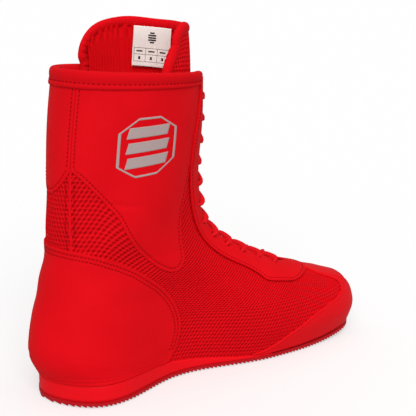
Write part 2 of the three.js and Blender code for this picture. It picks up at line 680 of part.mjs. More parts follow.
add('outsole', outsole(), finish.rubber());
add('heel_wedge', heelWedge(), finish.sidewall());
add('insole_board', insoleBoard(), finish.board());
add('sock_liner', sockLiner(), finish.lining());
add('lining', lining(), finish.lining());
add('heel_stiffener', counter(0.78, STIFFENER, 14, 5), finish.stiffener());
add('toe_puff', toePuff(), finish.stiffener());
add('vamp_mesh', vampMesh(), finish.mesh());
add('rear_mesh', rearMesh(), finish.mesh());
add('back_panel', backPanel(), finish.overlay());
add('shaft_panel_inner', shaftPanel(-1), finish.overlay());
add('shaft_panel_outer', shaftPanel(1), finish.overlay());
add('heel_counter', counter(1, OVERLAY, 20, 7), finish.overlay());
add('toe_cap', toeCap(), finish.overlay());
add('eyestay', eyestay(), finish.overlay());
add('collar_binding', collarBinding(), finish.overlay());
add('badge_inner', badge(-1), finish.print());
add('badge_outer', badge(1), finish.print());
add('lace', cord(laceRoute(), LACE_RADIUS, 5), finish.cord());
add('lace_tip_inner', aglet(-1), finish.cord());
add('lace_tip_outer', aglet(1), finish.cord());
add('tongue_base', tongueBase(TONGUE, 0), finish.mesh());
add('tongue_base_lining', tongueBase(TONGUE_LINING, 3), finish.lining());
add('tongue_flap', flapSheet(TONGUE), finish.mesh());
add('tongue_flap_lining', flapSheet(TONGUE_LINING), finish.lining());
add('tongue_binding', tongueBinding(), finish.overlay());
add('size_label', sizeLabel(), finish.label());

export default boot;
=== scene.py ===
"""High-top boxing boot, left foot. Metres in Blender; the boot's own sizes are in millimetres."""

import math

import bmesh
import bpy
import numpy as np
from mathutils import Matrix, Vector


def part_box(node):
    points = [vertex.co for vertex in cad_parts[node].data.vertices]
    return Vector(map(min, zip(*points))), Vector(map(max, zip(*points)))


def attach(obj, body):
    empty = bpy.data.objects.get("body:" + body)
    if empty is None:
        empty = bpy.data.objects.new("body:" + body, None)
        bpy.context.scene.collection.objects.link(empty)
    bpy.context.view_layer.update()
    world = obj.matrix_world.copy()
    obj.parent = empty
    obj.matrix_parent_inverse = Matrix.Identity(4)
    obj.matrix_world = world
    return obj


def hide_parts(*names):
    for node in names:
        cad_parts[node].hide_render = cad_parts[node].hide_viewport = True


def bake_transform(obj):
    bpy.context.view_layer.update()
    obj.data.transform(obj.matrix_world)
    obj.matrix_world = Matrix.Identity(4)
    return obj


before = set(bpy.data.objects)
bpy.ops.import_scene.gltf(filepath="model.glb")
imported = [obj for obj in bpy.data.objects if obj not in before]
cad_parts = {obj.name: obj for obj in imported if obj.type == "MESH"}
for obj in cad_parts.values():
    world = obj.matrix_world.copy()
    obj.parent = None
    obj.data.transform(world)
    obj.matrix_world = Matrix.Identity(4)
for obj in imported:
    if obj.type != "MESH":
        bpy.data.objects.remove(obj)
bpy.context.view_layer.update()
MM = 0.001
scene = bpy.context.scene


# ---------------------------------------------------------------- camera, floor and light

CAMERA_AT = (-0.3295, -0.5264, 0.2883)
CAMERA_AZIMUTH = math.radians(-32.52)
CAMERA_PITCH = 0.2608
CAMERA_LENS = 71.64
CAMERA_SENSOR = 36
CAMERA_REACH = (0.05, 20)
ROOM_LIGHT = 0.38
LIGHTS = (("key", (0.45, 0.80, -0.75), 2.0, 50), ("top", (-0.15, 0.1, -1), 0.55, 90))
FLOOR_HALF = 20
FLOOR_GREY = 0.55
FLOOR_GLOW = 0.47


def put_in_scene(name, data):
    made = bpy.data.objects.new(name, data)
    scene.collection.objects.link(made)
    return made


def aim(made, way):
    made.rotation_mode = "QUATERNION"
    made.rotation_quaternion = Vector(way).to_track_quat("-Z", "Y")


def place_camera():
    data = bpy.data.cameras.new("camera")
    data.lens = CAMERA_LENS
    data.sensor_width = CAMERA_SENSOR
    data.clip_start, data.clip_end = CAMERA_REACH
    camera = put_in_scene("camera", data)
    camera.location = CAMERA_AT
    level = math.cos(CAMERA_PITCH)
    ahead = (-math.sin(CAMERA_AZIMUTH) * level, math.cos(CAMERA_AZIMUTH) * level, -math.sin(CAMERA_PITCH))
    aim(camera, ahead)
    scene.camera = camera


def sky_and_floor():
    """White room, a soft key light from behind the camera, a broad one from above, and a pale floor."""
    scene.view_settings.view_transform = "Standard"
    world = bpy.data.worlds.new("white room")
    scene.world = world
    world.use_nodes = True
    n = Nodes(world.node_tree)
    background = world.node_tree.nodes["Background"]
    seen = n.add("ShaderNodeLightPath").outputs["Is Camera Ray"]
    strength = n.add("ShaderNodeMapRange", seen, 0.0, 1.0, ROOM_LIGHT, 1.0).outputs[0]
    n.feed(background.inputs["Strength"], strength)
    background.inputs["Color"].default_value = (1, 1, 1, 1)
    for name, way, energy, spread in LIGHTS:
        data = bpy.data.lights.new(name, "SUN")
        data.energy = energy
        data.angle = math.radians(spread)
        aim(put_in_scene(name, data), way)
    data = bpy.data.meshes.new("floor")
    w = FLOOR_HALF
    data.from_pydata([(-w, -w, 0), (w, -w, 0), (w, w, 0), (-w, w, 0)], [], [(0, 1, 2, 3)])
    floor = put_in_scene("floor", data)
    material = bpy.data.materials.new("pale floor")
    material.use_nodes = True
    n = Nodes(material.node_tree)
    shader = material.node_tree.nodes["Principled BSDF"]
    shader.inputs["Base Color"].default_value = (FLOOR_GREY, FLOOR_GREY, FLOOR_GREY, 1)
    shader.inputs["Roughness"].default_value = 0.9
    shader.inputs["Specular IOR Level"].default_value = 0.0
    shader.inputs["Emission Color"].default_value = (1, 1, 1, 1)
    n.feed(shader.inputs["Emission Strength"],
           n.math("MULTIPLY", n.add("ShaderNodeLightPath").outputs["Is Camera Ray"], FLOOR_GLOW))
    data.materials.append(material)


place_camera()


# ---------------------------------------------------------------- the boot's surface

# One row per level, from the feather line to the rim: middle of the back x, z, middle of the front
# x, z, roundness of the back end, half widths 36, 72, 108 and 144 degrees round, of the front end.
# The values are those of a least-squares fit, rounded to half a millimetre.
LEVELS = np.array([
    [1.5, 16.5, 274, 10, 57, 37.5, 30.5, 37.5, 26, 54],
    [-4.5, 31, 279, 28.5, 60, 37, 31.5, 41.5, 29.5, 55],
    [-4, 45, 267.5, 49.5, 59, 36, 32.5, 41, 27.5, 50],
    [-1, 60, 234.5, 60, 55, 34, 33.5, 36.5, 24.5, 42],
    [4, 76, 199, 72, 50, 31.5, 34, 33, 19, 33],
    [7.5, 92, 161.5, 91.5, 44, 28.5, 34, 31, 15, 28],
    [12, 110, 135.5, 117, 40, 26, 35, 31, 15, 28],
    [13, 140, 129.5, 148.5, 39, 25, 36.5, 33, 17.5, 30],
    [16, 185, 132, 190, 40, 26, 38.5, 36, 20.5, 33],
    [23, 236, 131.5, 229.5, 42, 27, 40, 38.5, 23.5, 38],
])
ORIGIN = np.array([137.2, -0.6, 0.0])
TOP_LEVEL = 9


def mix(a, b, u):
    return a + (b - a) * u


def ease(a, b, x):
    u = np.clip((x - a) / (b - a), 0, 1)
    return u * u * (3 - 2 * u)


def unit(v):
    return v / np.linalg.norm(v, axis=-1, keepdims=True)


def across_only(v, ahead):
    """What is left of vectors when their share along another direction is taken out."""
    return v - (v * ahead).sum(-1, keepdims=True) * ahead


def run_along(points):
    """Distance of each point of a line from the line's start."""
    return np.concatenate([[0], np.cumsum(np.linalg.norm(np.diff(points, axis=0), axis=1))])


def catmull(a, b, c, d, u):
    return 0.5 * (2 * b + (c - a) * u + (2 * a - 5 * b + 4 * c - d) * u**2 + (3 * b - a - 3 * c + d) * u**3)


def along_levels(values, t):
    """Smoothly through one value per level, and straight on past the ends."""
    values = np.asarray(values, float)
    padded = np.concatenate([[2 * values[0] - values[1]], values, [2 * values[-1] - values[-2]]])
    last = len(values) - 1
    i = np.clip(np.floor(t).astype(int), 0, last - 1)
    u = t - i
    a, b, c, d = padded[i], padded[i + 1], padded[i + 2], padded[i + 3]
    return np.where((t < 0) | (t > last), mix(b, c, u), catmull(a, b, c, d, u))


WIDTH_STEP = 36


def half_width(t, angle):
    t, a = np.broadcast_arrays(np.asarray(t, float), np.abs(np.asarray(angle, float)))
    full = []
    for k in range(6):
        share = 1 if k % 5 == 0 else math.sin(math.radians(k * WIDTH_STEP))
        full.append(along_levels(LEVELS[:, 4 + k], t) / share)
    ring = np.stack([full[1], *full, full[4]])
    s = a / WIDTH_STEP
    i = np.clip(np.floor(s).astype(int), 0, 4)
    at = [np.take_along_axis(ring, (i + k)[None], 0)[0] for k in range(4)]
    return catmull(*at, s - i) * np.sin(np.radians(a))


HEEL_TOP = 16.5
WEDGE_DROP, WEDGE_FROM, WEDGE_TO = 12, 50, 185
TOE_SPRING = 6


def sole_top(x):
    heel = HEEL_TOP - WEDGE_DROP * ease(WEDGE_FROM, WEDGE_TO, x)
    return heel + TOE_SPRING * np.clip((x - 200) / 75, 0, 2) ** 2


def sole_bottom(x):
    return TOE_SPRING * np.clip((x - 210) / 65, 0, 2) ** 2


def middle(x, t):
    low = 1 - ease(3, 7, t)
    return low * (5.5 * np.exp(-(((x - 110) / 45) ** 2)) - 11.5 * np.clip((x - 150) / 120, 0, 1.1) ** 2)


def surface(t, angle):
    """Point of the upper's outer face, in millimetres in the part's frame."""
    t, angle = np.broadcast_arrays(np.asarray(t, float), np.asarray(angle, float))
    a = (angle + 180) % 360 - 180
    q = (1 - np.cos(np.radians(a))) / 2
    x = mix(along_levels(LEVELS[:, 0], t), along_levels(LEVELS[:, 2], t), q)
    flat = mix(LEVELS[0, 1], LEVELS[0, 3], q)
    lift = along_levels([1, 0.5, 0.2, 0, 0, 0, 0, 0, 0, 0], t) * (sole_top(x) - flat)
    z = mix(along_levels(LEVELS[:, 1], t), along_levels(LEVELS[:, 3], t), q) + lift
    y = middle(x, t) + np.sign(a) * half_width(t, a)
    return np.stack([x, y, z], -1) - ORIGIN


def outward(t, angle):
    e, d = 1e-3, 0.05
    up = surface(t + e, angle) - surface(t - e, angle)
    way = surface(t, angle + d) - surface(t, angle - d)
    return unit(np.cross(up, way))


# Level, angle, slope and depth of each crease
CREASES = (
    (7.05, 68, -0.25, 0.55), (6.55, 40, 0.18, 0.6), (5.55, 92, -0.1, 0.5),
    (6.2, 34, -0.3, 0.5), (1.1, 0, 0, 0.7),
)
CREASE_WIDTH, CREASE_REACH = 0.055, 17


def give(t, angle):
    """Slow dents and swells of the soft upper, the same in all its layers."""
    t, angle = np.broadcast_arrays(np.asarray(t, float), np.asarray(angle, float))
    a = np.radians(angle)
    ankle = np.exp(-(((t - 5.6) / 1.5) ** 2))
    shaft = ease(5.5, 6.5, t) * (1 - ease(8.2, 8.8, t))
    foot = ease(0.3, 1.2, t) * (1 - ease(3, 4, t))
    waves = 0.8 * ankle * np.sin(3.1 * t + 2.3 * a) * np.sin(1.7 * a + 0.6)
    waves += 0.75 * shaft * np.sin(2.1 * t + 1.9 * a + 0.7) * np.cos(2.7 * a)
    waves += 0.3 * foot * np.sin(2.2 * t - 3.1 * a) * np.sin(2.0 * a)
    for t0, a0, slope, depth in CREASES:
        along = np.abs(angle) - a0
        off = (t - t0) - slope * along / 40
        waves = waves - depth * np.exp(-((off / CREASE_WIDTH) ** 2) - (along / CREASE_REACH) ** 2)
    return waves


def over(t, angle, offset):
    """Point at an offset from the upper's face, following its dents."""
    return surface(t, angle) + outward(t, angle) * (np.asarray(offset) + give(t, angle))[..., None]


def angle_at(t, distance, side=1):
    """The angle near the front at which the boot is this far from its middle line."""
    t = np.asarray(t, float)
    low, high = np.full(t.shape, 110.0), np.full(t.shape, 180.0)
    for _ in range(30):
        half = (low + high) / 2
        wide = half_width(t, half) > distance
        low, high = np.where(wide, half, low), np.where(wide, high, half)
    return side * low


# ---------------------------------------------------------------- meshes

def piece(name, points, faces, material, smooth=True):
    """A mesh object from points in millimetres."""
    mesh = bpy.data.meshes.new(name)
    places = np.asarray(points, float).reshape(-1, 3) * MM
    mesh.from_pydata(places.tolist(), [], [tuple(f) for f in faces])
    mesh.update()
    mesh.shade_smooth() if smooth else mesh.shade_flat()
    mesh.materials.append(material)
    return put_in_scene(name, mesh)


def grid_faces(n, m, start=0, flip=False, close=False):
    """Quads of a grid of n by m points; close joins the last column to the first."""
    idx = np.arange(n * m).reshape(n, m) + start
    if close:
        idx = np.concatenate([idx, idx[:1]])
    a, b, c, d = idx[:-1, :-1], idx[1:, :-1], idx[1:, 1:], idx[:-1, 1:]
    order = [a, d, c, b] if flip else [a, b, c, d]
    return np.stack(order, -1).reshape(-1, 4).tolist()


def volume_of(points, faces):
    """Signed volume under the three and four-sided faces; it is positive where they face outwards."""
    total = 0.0
    for f in (np.array([q for q in faces if len(q) == k]) for k in (3, 4)):
        if len(f):
            p = points[f]
            for k in range(2, f.shape[1]):
                total += np.einsum("ij,ij->i", p[:, 0], np.cross(p[:, k - 1], p[:, k])).sum()
    return total


def outward_faces(points, faces):
    return faces if volume_of(points, faces) > 0 else [tuple(reversed(f)) for f in faces]


def slab_faces(n, m):
    """Faces of a closed sheet whose outer grid of n by m points comes before its inner one."""
    far, last = n * m, (n - 1) * m
    faces = grid_faces(n, m) + grid_faces(n, m, far, True)
    for i in range(n - 1):
        for j, turn in ((0, False), (m - 1, True)):
            at = i * m + j
            wall = [at, far + at, far + at + m, at + m]
            faces.append(wall[::-1] if turn else wall)
    for j in range(m - 1):
        faces.append([j, j + 1, far + j + 1, far + j])
        faces.append([last + j, far + last + j, far + last + j + 1, last + j + 1])
    return faces


def slab(name, outer, inner, material):
    """A closed sheet between an outer and an inner grid of points."""
    points = np.concatenate([outer.reshape(-1, 3), inner.reshape(-1, 3)])
    return piece(name, points, outward_faces(points, slab_faces(*outer.shape[:2])), material)


def printed(name, fields, material, smooth=True):
    """Thin printed fields in one mesh, each given as an outer and an inner grid of points."""
    points, faces = [], []
    for outer, inner in fields:
        block = np.concatenate([outer.reshape(-1, 3), inner.reshape(-1, 3)])
        own = outward_faces(block - block.mean(0), slab_faces(*outer.shape[:2]))
        faces += [[len(points) + v for v in f] for f in own]
        points += block.tolist()
    return piece(name, np.array(points), faces, material, smooth)


def loft(name, rings, material):
    """A solid through rings of points, n rings of m points, each ring a closed loop."""
    n, m = rings.shape[:2]
    points = rings.reshape(-1, 3)
    idx = np.arange(n * m).reshape(n, m)
    nxt = np.roll(idx, -1, axis=1)
    faces = np.stack([idx[:-1], nxt[:-1], nxt[1:], idx[1:]], -1).reshape(-1, 4).tolist()
    faces += [idx[0, ::-1].tolist(), idx[-1].tolist()]
    return piece(name, points, outward_faces(points, faces), material)


def oval_rings(path, wide, tall, halves, around, swell):
    """Oval cross-sections along a path, each point swollen by its own share."""
    a = (halves[0] * np.cos(around) * swell)[..., None] * wide[:, None]
    b = (halves[1] * np.sin(around) * swell)[..., None] * tall[:, None]
    return path[:, None] + a + b


def weld(made):
    """Merges points that fell on each other where a piece runs out to nothing."""
    shape = bmesh.new()
    shape.from_mesh(made.data)
    bmesh.ops.remove_doubles(shape, verts=shape.verts, dist=0.02 * MM)
    bmesh.ops.dissolve_degenerate(shape, edges=shape.edges, dist=0.005 * MM)
    shape.to_mesh(made.data)
    shape.free()


def put_vector(made, name, values):
    attribute = made.data.attributes.new(name, "FLOAT_VECTOR", "POINT")
    attribute.data.foreach_set("vector", np.asarray(values, np.float32).reshape(-1, 3).ravel())


def spline(points, count):
    """A smooth line through places or points, evenly stepped along its own length."""
    p = np.asarray(points, float)
    ends = np.concatenate([[2 * p[0] - p[1]], p, [2 * p[-1] - p[-2]]])
    fine = []
    u = np.linspace(0, 1, 13)[:-1, None]
    for i in range(len(p) - 1):
        fine.append(catmull(ends[i], ends[i + 1], ends[i + 2], ends[i + 3], u))
    fine.append(p[-1:])
    fine = np.concatenate(fine)
    run = run_along(surface(fine[:, 0], fine[:, 1]) if p.shape[1] == 2 else fine)
    want = np.linspace(0, run[-1], count)
    return np.stack([np.interp(want, run, fine[:, k]) for k in range(p.shape[1])], -1)


# ---------------------------------------------------------------- node helpers

class Nodes:
    """Short way to add nodes and links to one tree."""

    def __init__(self, tree):
        self.tree = tree

    def add(self, kind, *args, **settings):
        node = self.tree.nodes.new(kind)
        for key, value in settings.items():
            setattr(node, key, value)
        for slot, value in enumerate(args):
            self.feed(node.inputs[slot], value)
        return node

    def feed(self, socket, value):
        if value is None:
            return
        if isinstance(value, bpy.types.NodeSocket):
            self.tree.links.new(value, socket)
        else:
            socket.default_value = value

    def math(self, operation, *args):
        return self.add("ShaderNodeMath", *args, operation=operation).outputs[0]

    def vector(self, operation, *args):
        return self.add("ShaderNodeVectorMath", *args, operation=operation).outputs[0]

    def split(self, vector):
        return self.add("ShaderNodeSeparateXYZ", vector).outputs


sky_and_floor()


def group_sockets(tree, inputs, outputs):
    for direction, sockets in (("INPUT", inputs), ("OUTPUT", outputs)):
        for name, kind, *default in sockets:
            made = tree.interface.new_socket(name, in_out=direction, socket_type="NodeSocket" + kind)
            if default:
                made.default_value = default[0]


def settle(made, modifier):
    """Keeps a modifier's result as the plain mesh and removes the modifier."""
    bpy.context.view_layer.update()
    graph = bpy.context.evaluated_depsgraph_get()
    result = bpy.data.meshes.new_from_object(made.evaluated_get(graph))
    made.modifiers.remove(modifier)
    made.data = result


def run_nodes(made, tree, **inputs):
    """Puts a Geometry Nodes tree on an object, sets its inputs and keeps the plain result."""
    names = {item.name: item.identifier for item in tree.interface.items_tree if item.in_out == "INPUT"}
    modifier = made.modifiers.new("nodes", "NODES")
    modifier.node_group = tree
    for name, value in inputs.items():
        modifier[names[name]] = value
    settle(made, modifier)


# ---------------------------------------------------------------- shader groups and materials

def tone_group():
    """Slow colour changes of dyed cloth or moulded rubber: a broad cloud and a fine fleck."""
    tree = bpy.data.node_groups.new("dye tone", "ShaderNodeTree")
    group_sockets(
        tree,
        [("Base", "Color"), ("Deep", "Color"), ("Cloud", "Float"), ("Cloud Scale", "Float"),
         ("Fleck", "Float"), ("Fleck Scale", "Float")],
        [("Color", "Color"), ("Mask", "Float")],
    )
    n = Nodes(tree)
    given = n.add("NodeGroupInput").outputs
    where = n.add("ShaderNodeTexCoord").outputs["Object"]
    cloud = n.add("ShaderNodeTexNoise", where)
    n.feed(cloud.inputs["Scale"], given["Cloud Scale"])
    n.feed(cloud.inputs["Detail"], 4.0)
    fleck = n.add("ShaderNodeTexNoise", where)
    n.feed(fleck.inputs["Scale"], given["Fleck Scale"])
    n.feed(fleck.inputs["Detail"], 2.0)
    broad = n.math("MULTIPLY", n.math("SUBTRACT", cloud.outputs[0], 0.35), given["Cloud"])
    fine = n.math("MULTIPLY", n.math("SUBTRACT", fleck.outputs[0], 0.35), given["Fleck"])
    share = n.add("ShaderNodeMath", broad, fine, operation="ADD", use_clamp=True).outputs[0]
    blend = n.add("ShaderNodeMix", data_type="RGBA")
    n.feed(blend.inputs["Factor"], share)
    n.feed(blend.inputs["A"], given["Base"])
    n.feed(blend.inputs["B"], given["Deep"])
    n.add("NodeGroupOutput", blend.outputs["Result"], share)
    return tree


def grain_group():
    """Fine leather-like or knitted relief, as a height."""
    tree = bpy.data.node_groups.new("fine grain", "ShaderNodeTree")
    group_sockets(
        tree,
        [("Scale", "Float"), ("Pebble", "Float"), ("Thread", "Float"), ("Thread Scale", "Float")],
        [("Height", "Float")],
    )
    n = Nodes(tree)
    given = n.add("NodeGroupInput").outputs
    where = n.add("ShaderNodeTexCoord").outputs["Object"]
    cells = n.add("ShaderNodeTexVoronoi", where, feature="F1")
    n.feed(cells.inputs["Scale"], given["Scale"])
    pebble = n.math("MULTIPLY", cells.outputs["Distance"], given["Pebble"])
    waves = [n.math("SINE", n.math("MULTIPLY", way, given["Thread Scale"])) for way in list(n.split(where))]
    cross = n.math("MULTIPLY", n.math("ADD", waves[0], waves[1]), waves[2])
    n.add("NodeGroupOutput", n.math("ADD", pebble, n.math("MULTIPLY", cross, given["Thread"])))
    return tree


TONE = tone_group()
GRAIN = grain_group()


def finish(name, base, deep, rough, shine=0.1, cloud=0.25, fleck=0.2, cloud_scale=28.0, fleck_scale=1500.0,
           grain=1400.0, pebble=0.5, thread=0.0, thread_scale=1800.0, bump=0.15, sheen=0.0, coat=0.0):
    """A cloth, leather or rubber finish: the material, its nodes, its shader and its colour socket."""
    material = bpy.data.materials.new(name)
    material.use_nodes = True
    n = Nodes(material.node_tree)
    shader = material.node_tree.nodes["Principled BSDF"]
    tone = n.add("ShaderNodeGroup", node_tree=TONE)
    for socket, value in zip(tone.inputs, ((*base, 1), (*deep, 1), cloud, cloud_scale, fleck, fleck_scale)):
        socket.default_value = value
    relief = n.add("ShaderNodeGroup", node_tree=GRAIN)
    for socket, value in zip(relief.inputs, (grain, pebble, thread, thread_scale)):
        socket.default_value = value
    bumped = n.add("ShaderNodeBump")
    bumped.inputs["Strength"].default_value = bump
    bumped.inputs["Distance"].default_value = 0.0003
    n.feed(bumped.inputs["Height"], relief.outputs["Height"])
    n.feed(shader.inputs["Base Color"], tone.outputs["Color"])
    n.feed(shader.inputs["Normal"], bumped.outputs["Normal"])
    uneven = n.add("ShaderNodeMapRange", tone.outputs["Mask"])
    uneven.inputs["To Min"].default_value = rough
    uneven.inputs["To Max"].default_value = min(1.0, rough + 0.25)
    n.feed(shader.inputs["Roughness"], uneven.outputs[0])
    shader.inputs["Specular IOR Level"].default_value = shine
    shader.inputs["Sheen Weight"].default_value = sheen
    shader.inputs["Sheen Roughness"].default_value = 0.5
    shader.inputs["Sheen Tint"].default_value = (1.0, 0.25, 0.2, 1)
    shader.inputs["Coat Weight"].default_value = coat
    shader.inputs["Coat Roughness"].default_value = 0.25
    return material, n, shader, tone.outputs["Color"]


RED = (0.80, 0.0030, 0.0085)
DEEP_RED = (0.50, 0.0, 0.003)

smooth_overlay = finish("smooth overlay", RED, DEEP_RED, 0.62, 0.05, cloud=0.5, fleck=0.4, bump=0.26,
                        sheen=0.02)[0]
moulded_cap = finish("moulded cap", RED, DEEP_RED, 0.5, 0.08, bump=0.06, fleck=0.1)[0]
sidewall_rubber = finish("sidewall rubber", (0.86, 0.0045, 0.011), DEEP_RED, 0.45, 0.08, bump=0.05,
                         fleck=0.1)[0]
tread_rubber = finish("tread rubber", (0.50, 0.007, 0.012), (0.30, 0.002, 0.004), 0.55, 0.14, bump=0.12)[0]
collar_knit = finish("collar knit", (0.72, 0.003, 0.008), DEEP_RED, 0.8, 0.05, pebble=0.2, thread=0.5,
                     thread_scale=5200.0, bump=0.3, sheen=0.03)[0]
binding_knit = finish("binding knit", (0.76, 0.003, 0.008), DEEP_RED, 0.8, 0.05, pebble=0.2, thread=0.5,
                      thread_scale=5600.0, bump=0.3, sheen=0.03)[0]
lining_cloth = finish("lining cloth", (0.58, 0.004, 0.009), (0.36, 0.001, 0.004), 0.9, 0.03, pebble=0.3,
                      thread=0.4, thread_scale=4200.0, bump=0.35, sheen=0.03)[0]
rib_knit = finish("rib knit", (0.80, 0.004, 0.008), (0.42, 0.001, 0.004), 0.9, 0.03, pebble=0.2, thread=0.5,
                  thread_scale=6200.0, bump=0.3, sheen=0.025)[0]
footbed_cloth = finish("footbed cloth", (0.45, 0.004, 0.008), (0.26, 0.001, 0.003), 0.9, 0.03, thread=0.5,
                       thread_scale=3600.0, bump=0.4, sheen=0.05)[0]
# The thread has the cloth's red; this darker colour is painted shade of the pits the stitches sit in.
shade_painted_thread = finish("sewing thread", (0.36, 0.0, 0.003), (0.22, 0, 0.002), 0.7, 0.08, bump=0.1)[0]
braided_lace = finish("braided lace", (0.76, 0.007, 0.013), DEEP_RED, 0.75, 0.06, pebble=0.2, thread=0.6,
                      thread_scale=4800.0, bump=0.4, sheen=0.03)[0]
lace_end = finish("lace end", (0.72, 0.008, 0.014), DEEP_RED, 0.25, 0.4, bump=0.02, coat=0.4)[0]
fibre_board = finish("fibre board", (0.66, 0.60, 0.48), (0.45, 0.38, 0.28), 0.9, 0.1, fleck=0.5,
                     bump=0.2)[0]
stiff_sheet = finish("stiffener sheet", (0.80, 0.78, 0.70), (0.62, 0.58, 0.5), 0.6, 0.3, bump=0.05)[0]
satin_tape = finish("satin tape", (0.95, 0.92, 0.86), (0.84, 0.76, 0.70), 0.55, 0.25, pebble=0.0,
                    thread=0.6, thread_scale=7000.0, bump=0.2, fleck=0.15)[0]
black_print = finish("black print", (0.02, 0.018, 0.018), (0.05, 0.04, 0.04), 0.6, 0.2, fleck=0.6,
                     bump=0.05)[0]
grey_print = finish("grey print", (0.46, 0.38, 0.37), (0.50, 0.24, 0.23), 0.5, 0.25, cloud=0.1, fleck=0.9,
                    fleck_scale=2600.0, bump=0.15)[0]


def spacer_mesh_finish(name, base, deep, hole_shade):
    """Knitted spacer mesh: its sunk openings, held in the attribute, get a darker colour as painted shade."""
    material, n, shader, colour = finish(name, base, deep, 0.8, 0.05, thread=0.6, thread_scale=6000.0,
                                         pebble=0.3, bump=0.35, sheen=0.025)
    # Painted shade: inside each opening the colour goes darker, towards the hole colour.
    opening_shade = n.add("ShaderNodeAttribute", attribute_name="opening_shade").outputs["Fac"]
    blend = n.add("ShaderNodeMix", data_type="RGBA")
    n.feed(blend.inputs["Factor"], opening_shade)
    n.feed(blend.inputs["A"], colour)
    n.feed(blend.inputs["B"], (*hole_shade, 1))
    n.feed(shader.inputs["Base Color"], blend.outputs["Result"])
    return material


# The last colour is painted shade for the mesh's openings, not a second dye.
upper_mesh = spacer_mesh_finish("spacer mesh", (0.84, 0.004, 0.010), DEEP_RED, (0.36, 0.0, 0.002))


# ---------------------------------------------------------------- geometry node trees

def stitch_tree():
    """A row of stitches along each chain of edges: a short thread on every step of the pitch."""
    tree = bpy.data.node_groups.new("stitch row", "GeometryNodeTree")
    group_sockets(
        tree,
        [("Geometry", "Geometry"), ("Pitch", "Float", 0.003), ("Length", "Float", 0.002),
         ("Thread", "Float", 0.0006), ("Seed", "Int", 4), ("Material", "Material")],
        [("Geometry", "Geometry")],
    )
    n = Nodes(tree)
    given = n.add("NodeGroupInput").outputs
    line = n.add("GeometryNodeMeshToCurve", given["Geometry"])
    spaced = n.add("GeometryNodeResampleCurve", mode="LENGTH")
    n.feed(spaced.inputs["Curve"], line.outputs[0])
    n.feed(spaced.inputs["Length"], given["Pitch"])
    bead = n.add("GeometryNodeMeshUVSphere")
    bead.inputs["Segments"].default_value = 6
    bead.inputs["Rings"].default_value = 5
    bead.inputs["Radius"].default_value = 0.5
    size = n.add("ShaderNodeCombineXYZ", given["Length"], given["Thread"], given["Thread"]).outputs[0]
    turned = n.add("GeometryNodeTransform")
    n.feed(turned.inputs["Geometry"], bead.outputs[0])
    turned.inputs["Rotation"].default_value = (0, math.pi / 2, 0)
    flat = n.add("GeometryNodeTransform")
    n.feed(flat.inputs["Geometry"], turned.outputs[0])
    n.feed(flat.inputs["Scale"], size)
    aim = n.add("FunctionNodeAlignRotationToVector", axis="X")
    n.feed(aim.inputs["Vector"], n.add("GeometryNodeInputTangent").outputs[0])
    wobble = n.add("FunctionNodeRandomValue", data_type="FLOAT_VECTOR")
    wobble.inputs[0].default_value = (-0.1, -0.1, -0.1)
    wobble.inputs[1].default_value = (0.1, 0.1, 0.1)
    n.feed(wobble.inputs["Seed"], given["Seed"])
    shift = n.add("FunctionNodeRotateRotation")
    n.feed(shift.inputs[0], aim.outputs[0])
    n.feed(shift.inputs[1], wobble.outputs[0])
    sewn = n.add("GeometryNodeInstanceOnPoints")
    n.feed(sewn.inputs["Points"], spaced.outputs[0])
    n.feed(sewn.inputs["Instance"], flat.outputs[0])
    n.feed(sewn.inputs["Rotation"], shift.outputs[0])
    real = n.add("GeometryNodeRealizeInstances", sewn.outputs[0])
    shaded = n.add("GeometryNodeSetShadeSmooth", real.outputs[0])
    coloured = n.add("GeometryNodeSetMaterial", shaded.outputs[0])
    n.feed(coloured.inputs["Material"], given["Material"])
    n.add("NodeGroupOutput", coloured.outputs[0])
    return tree


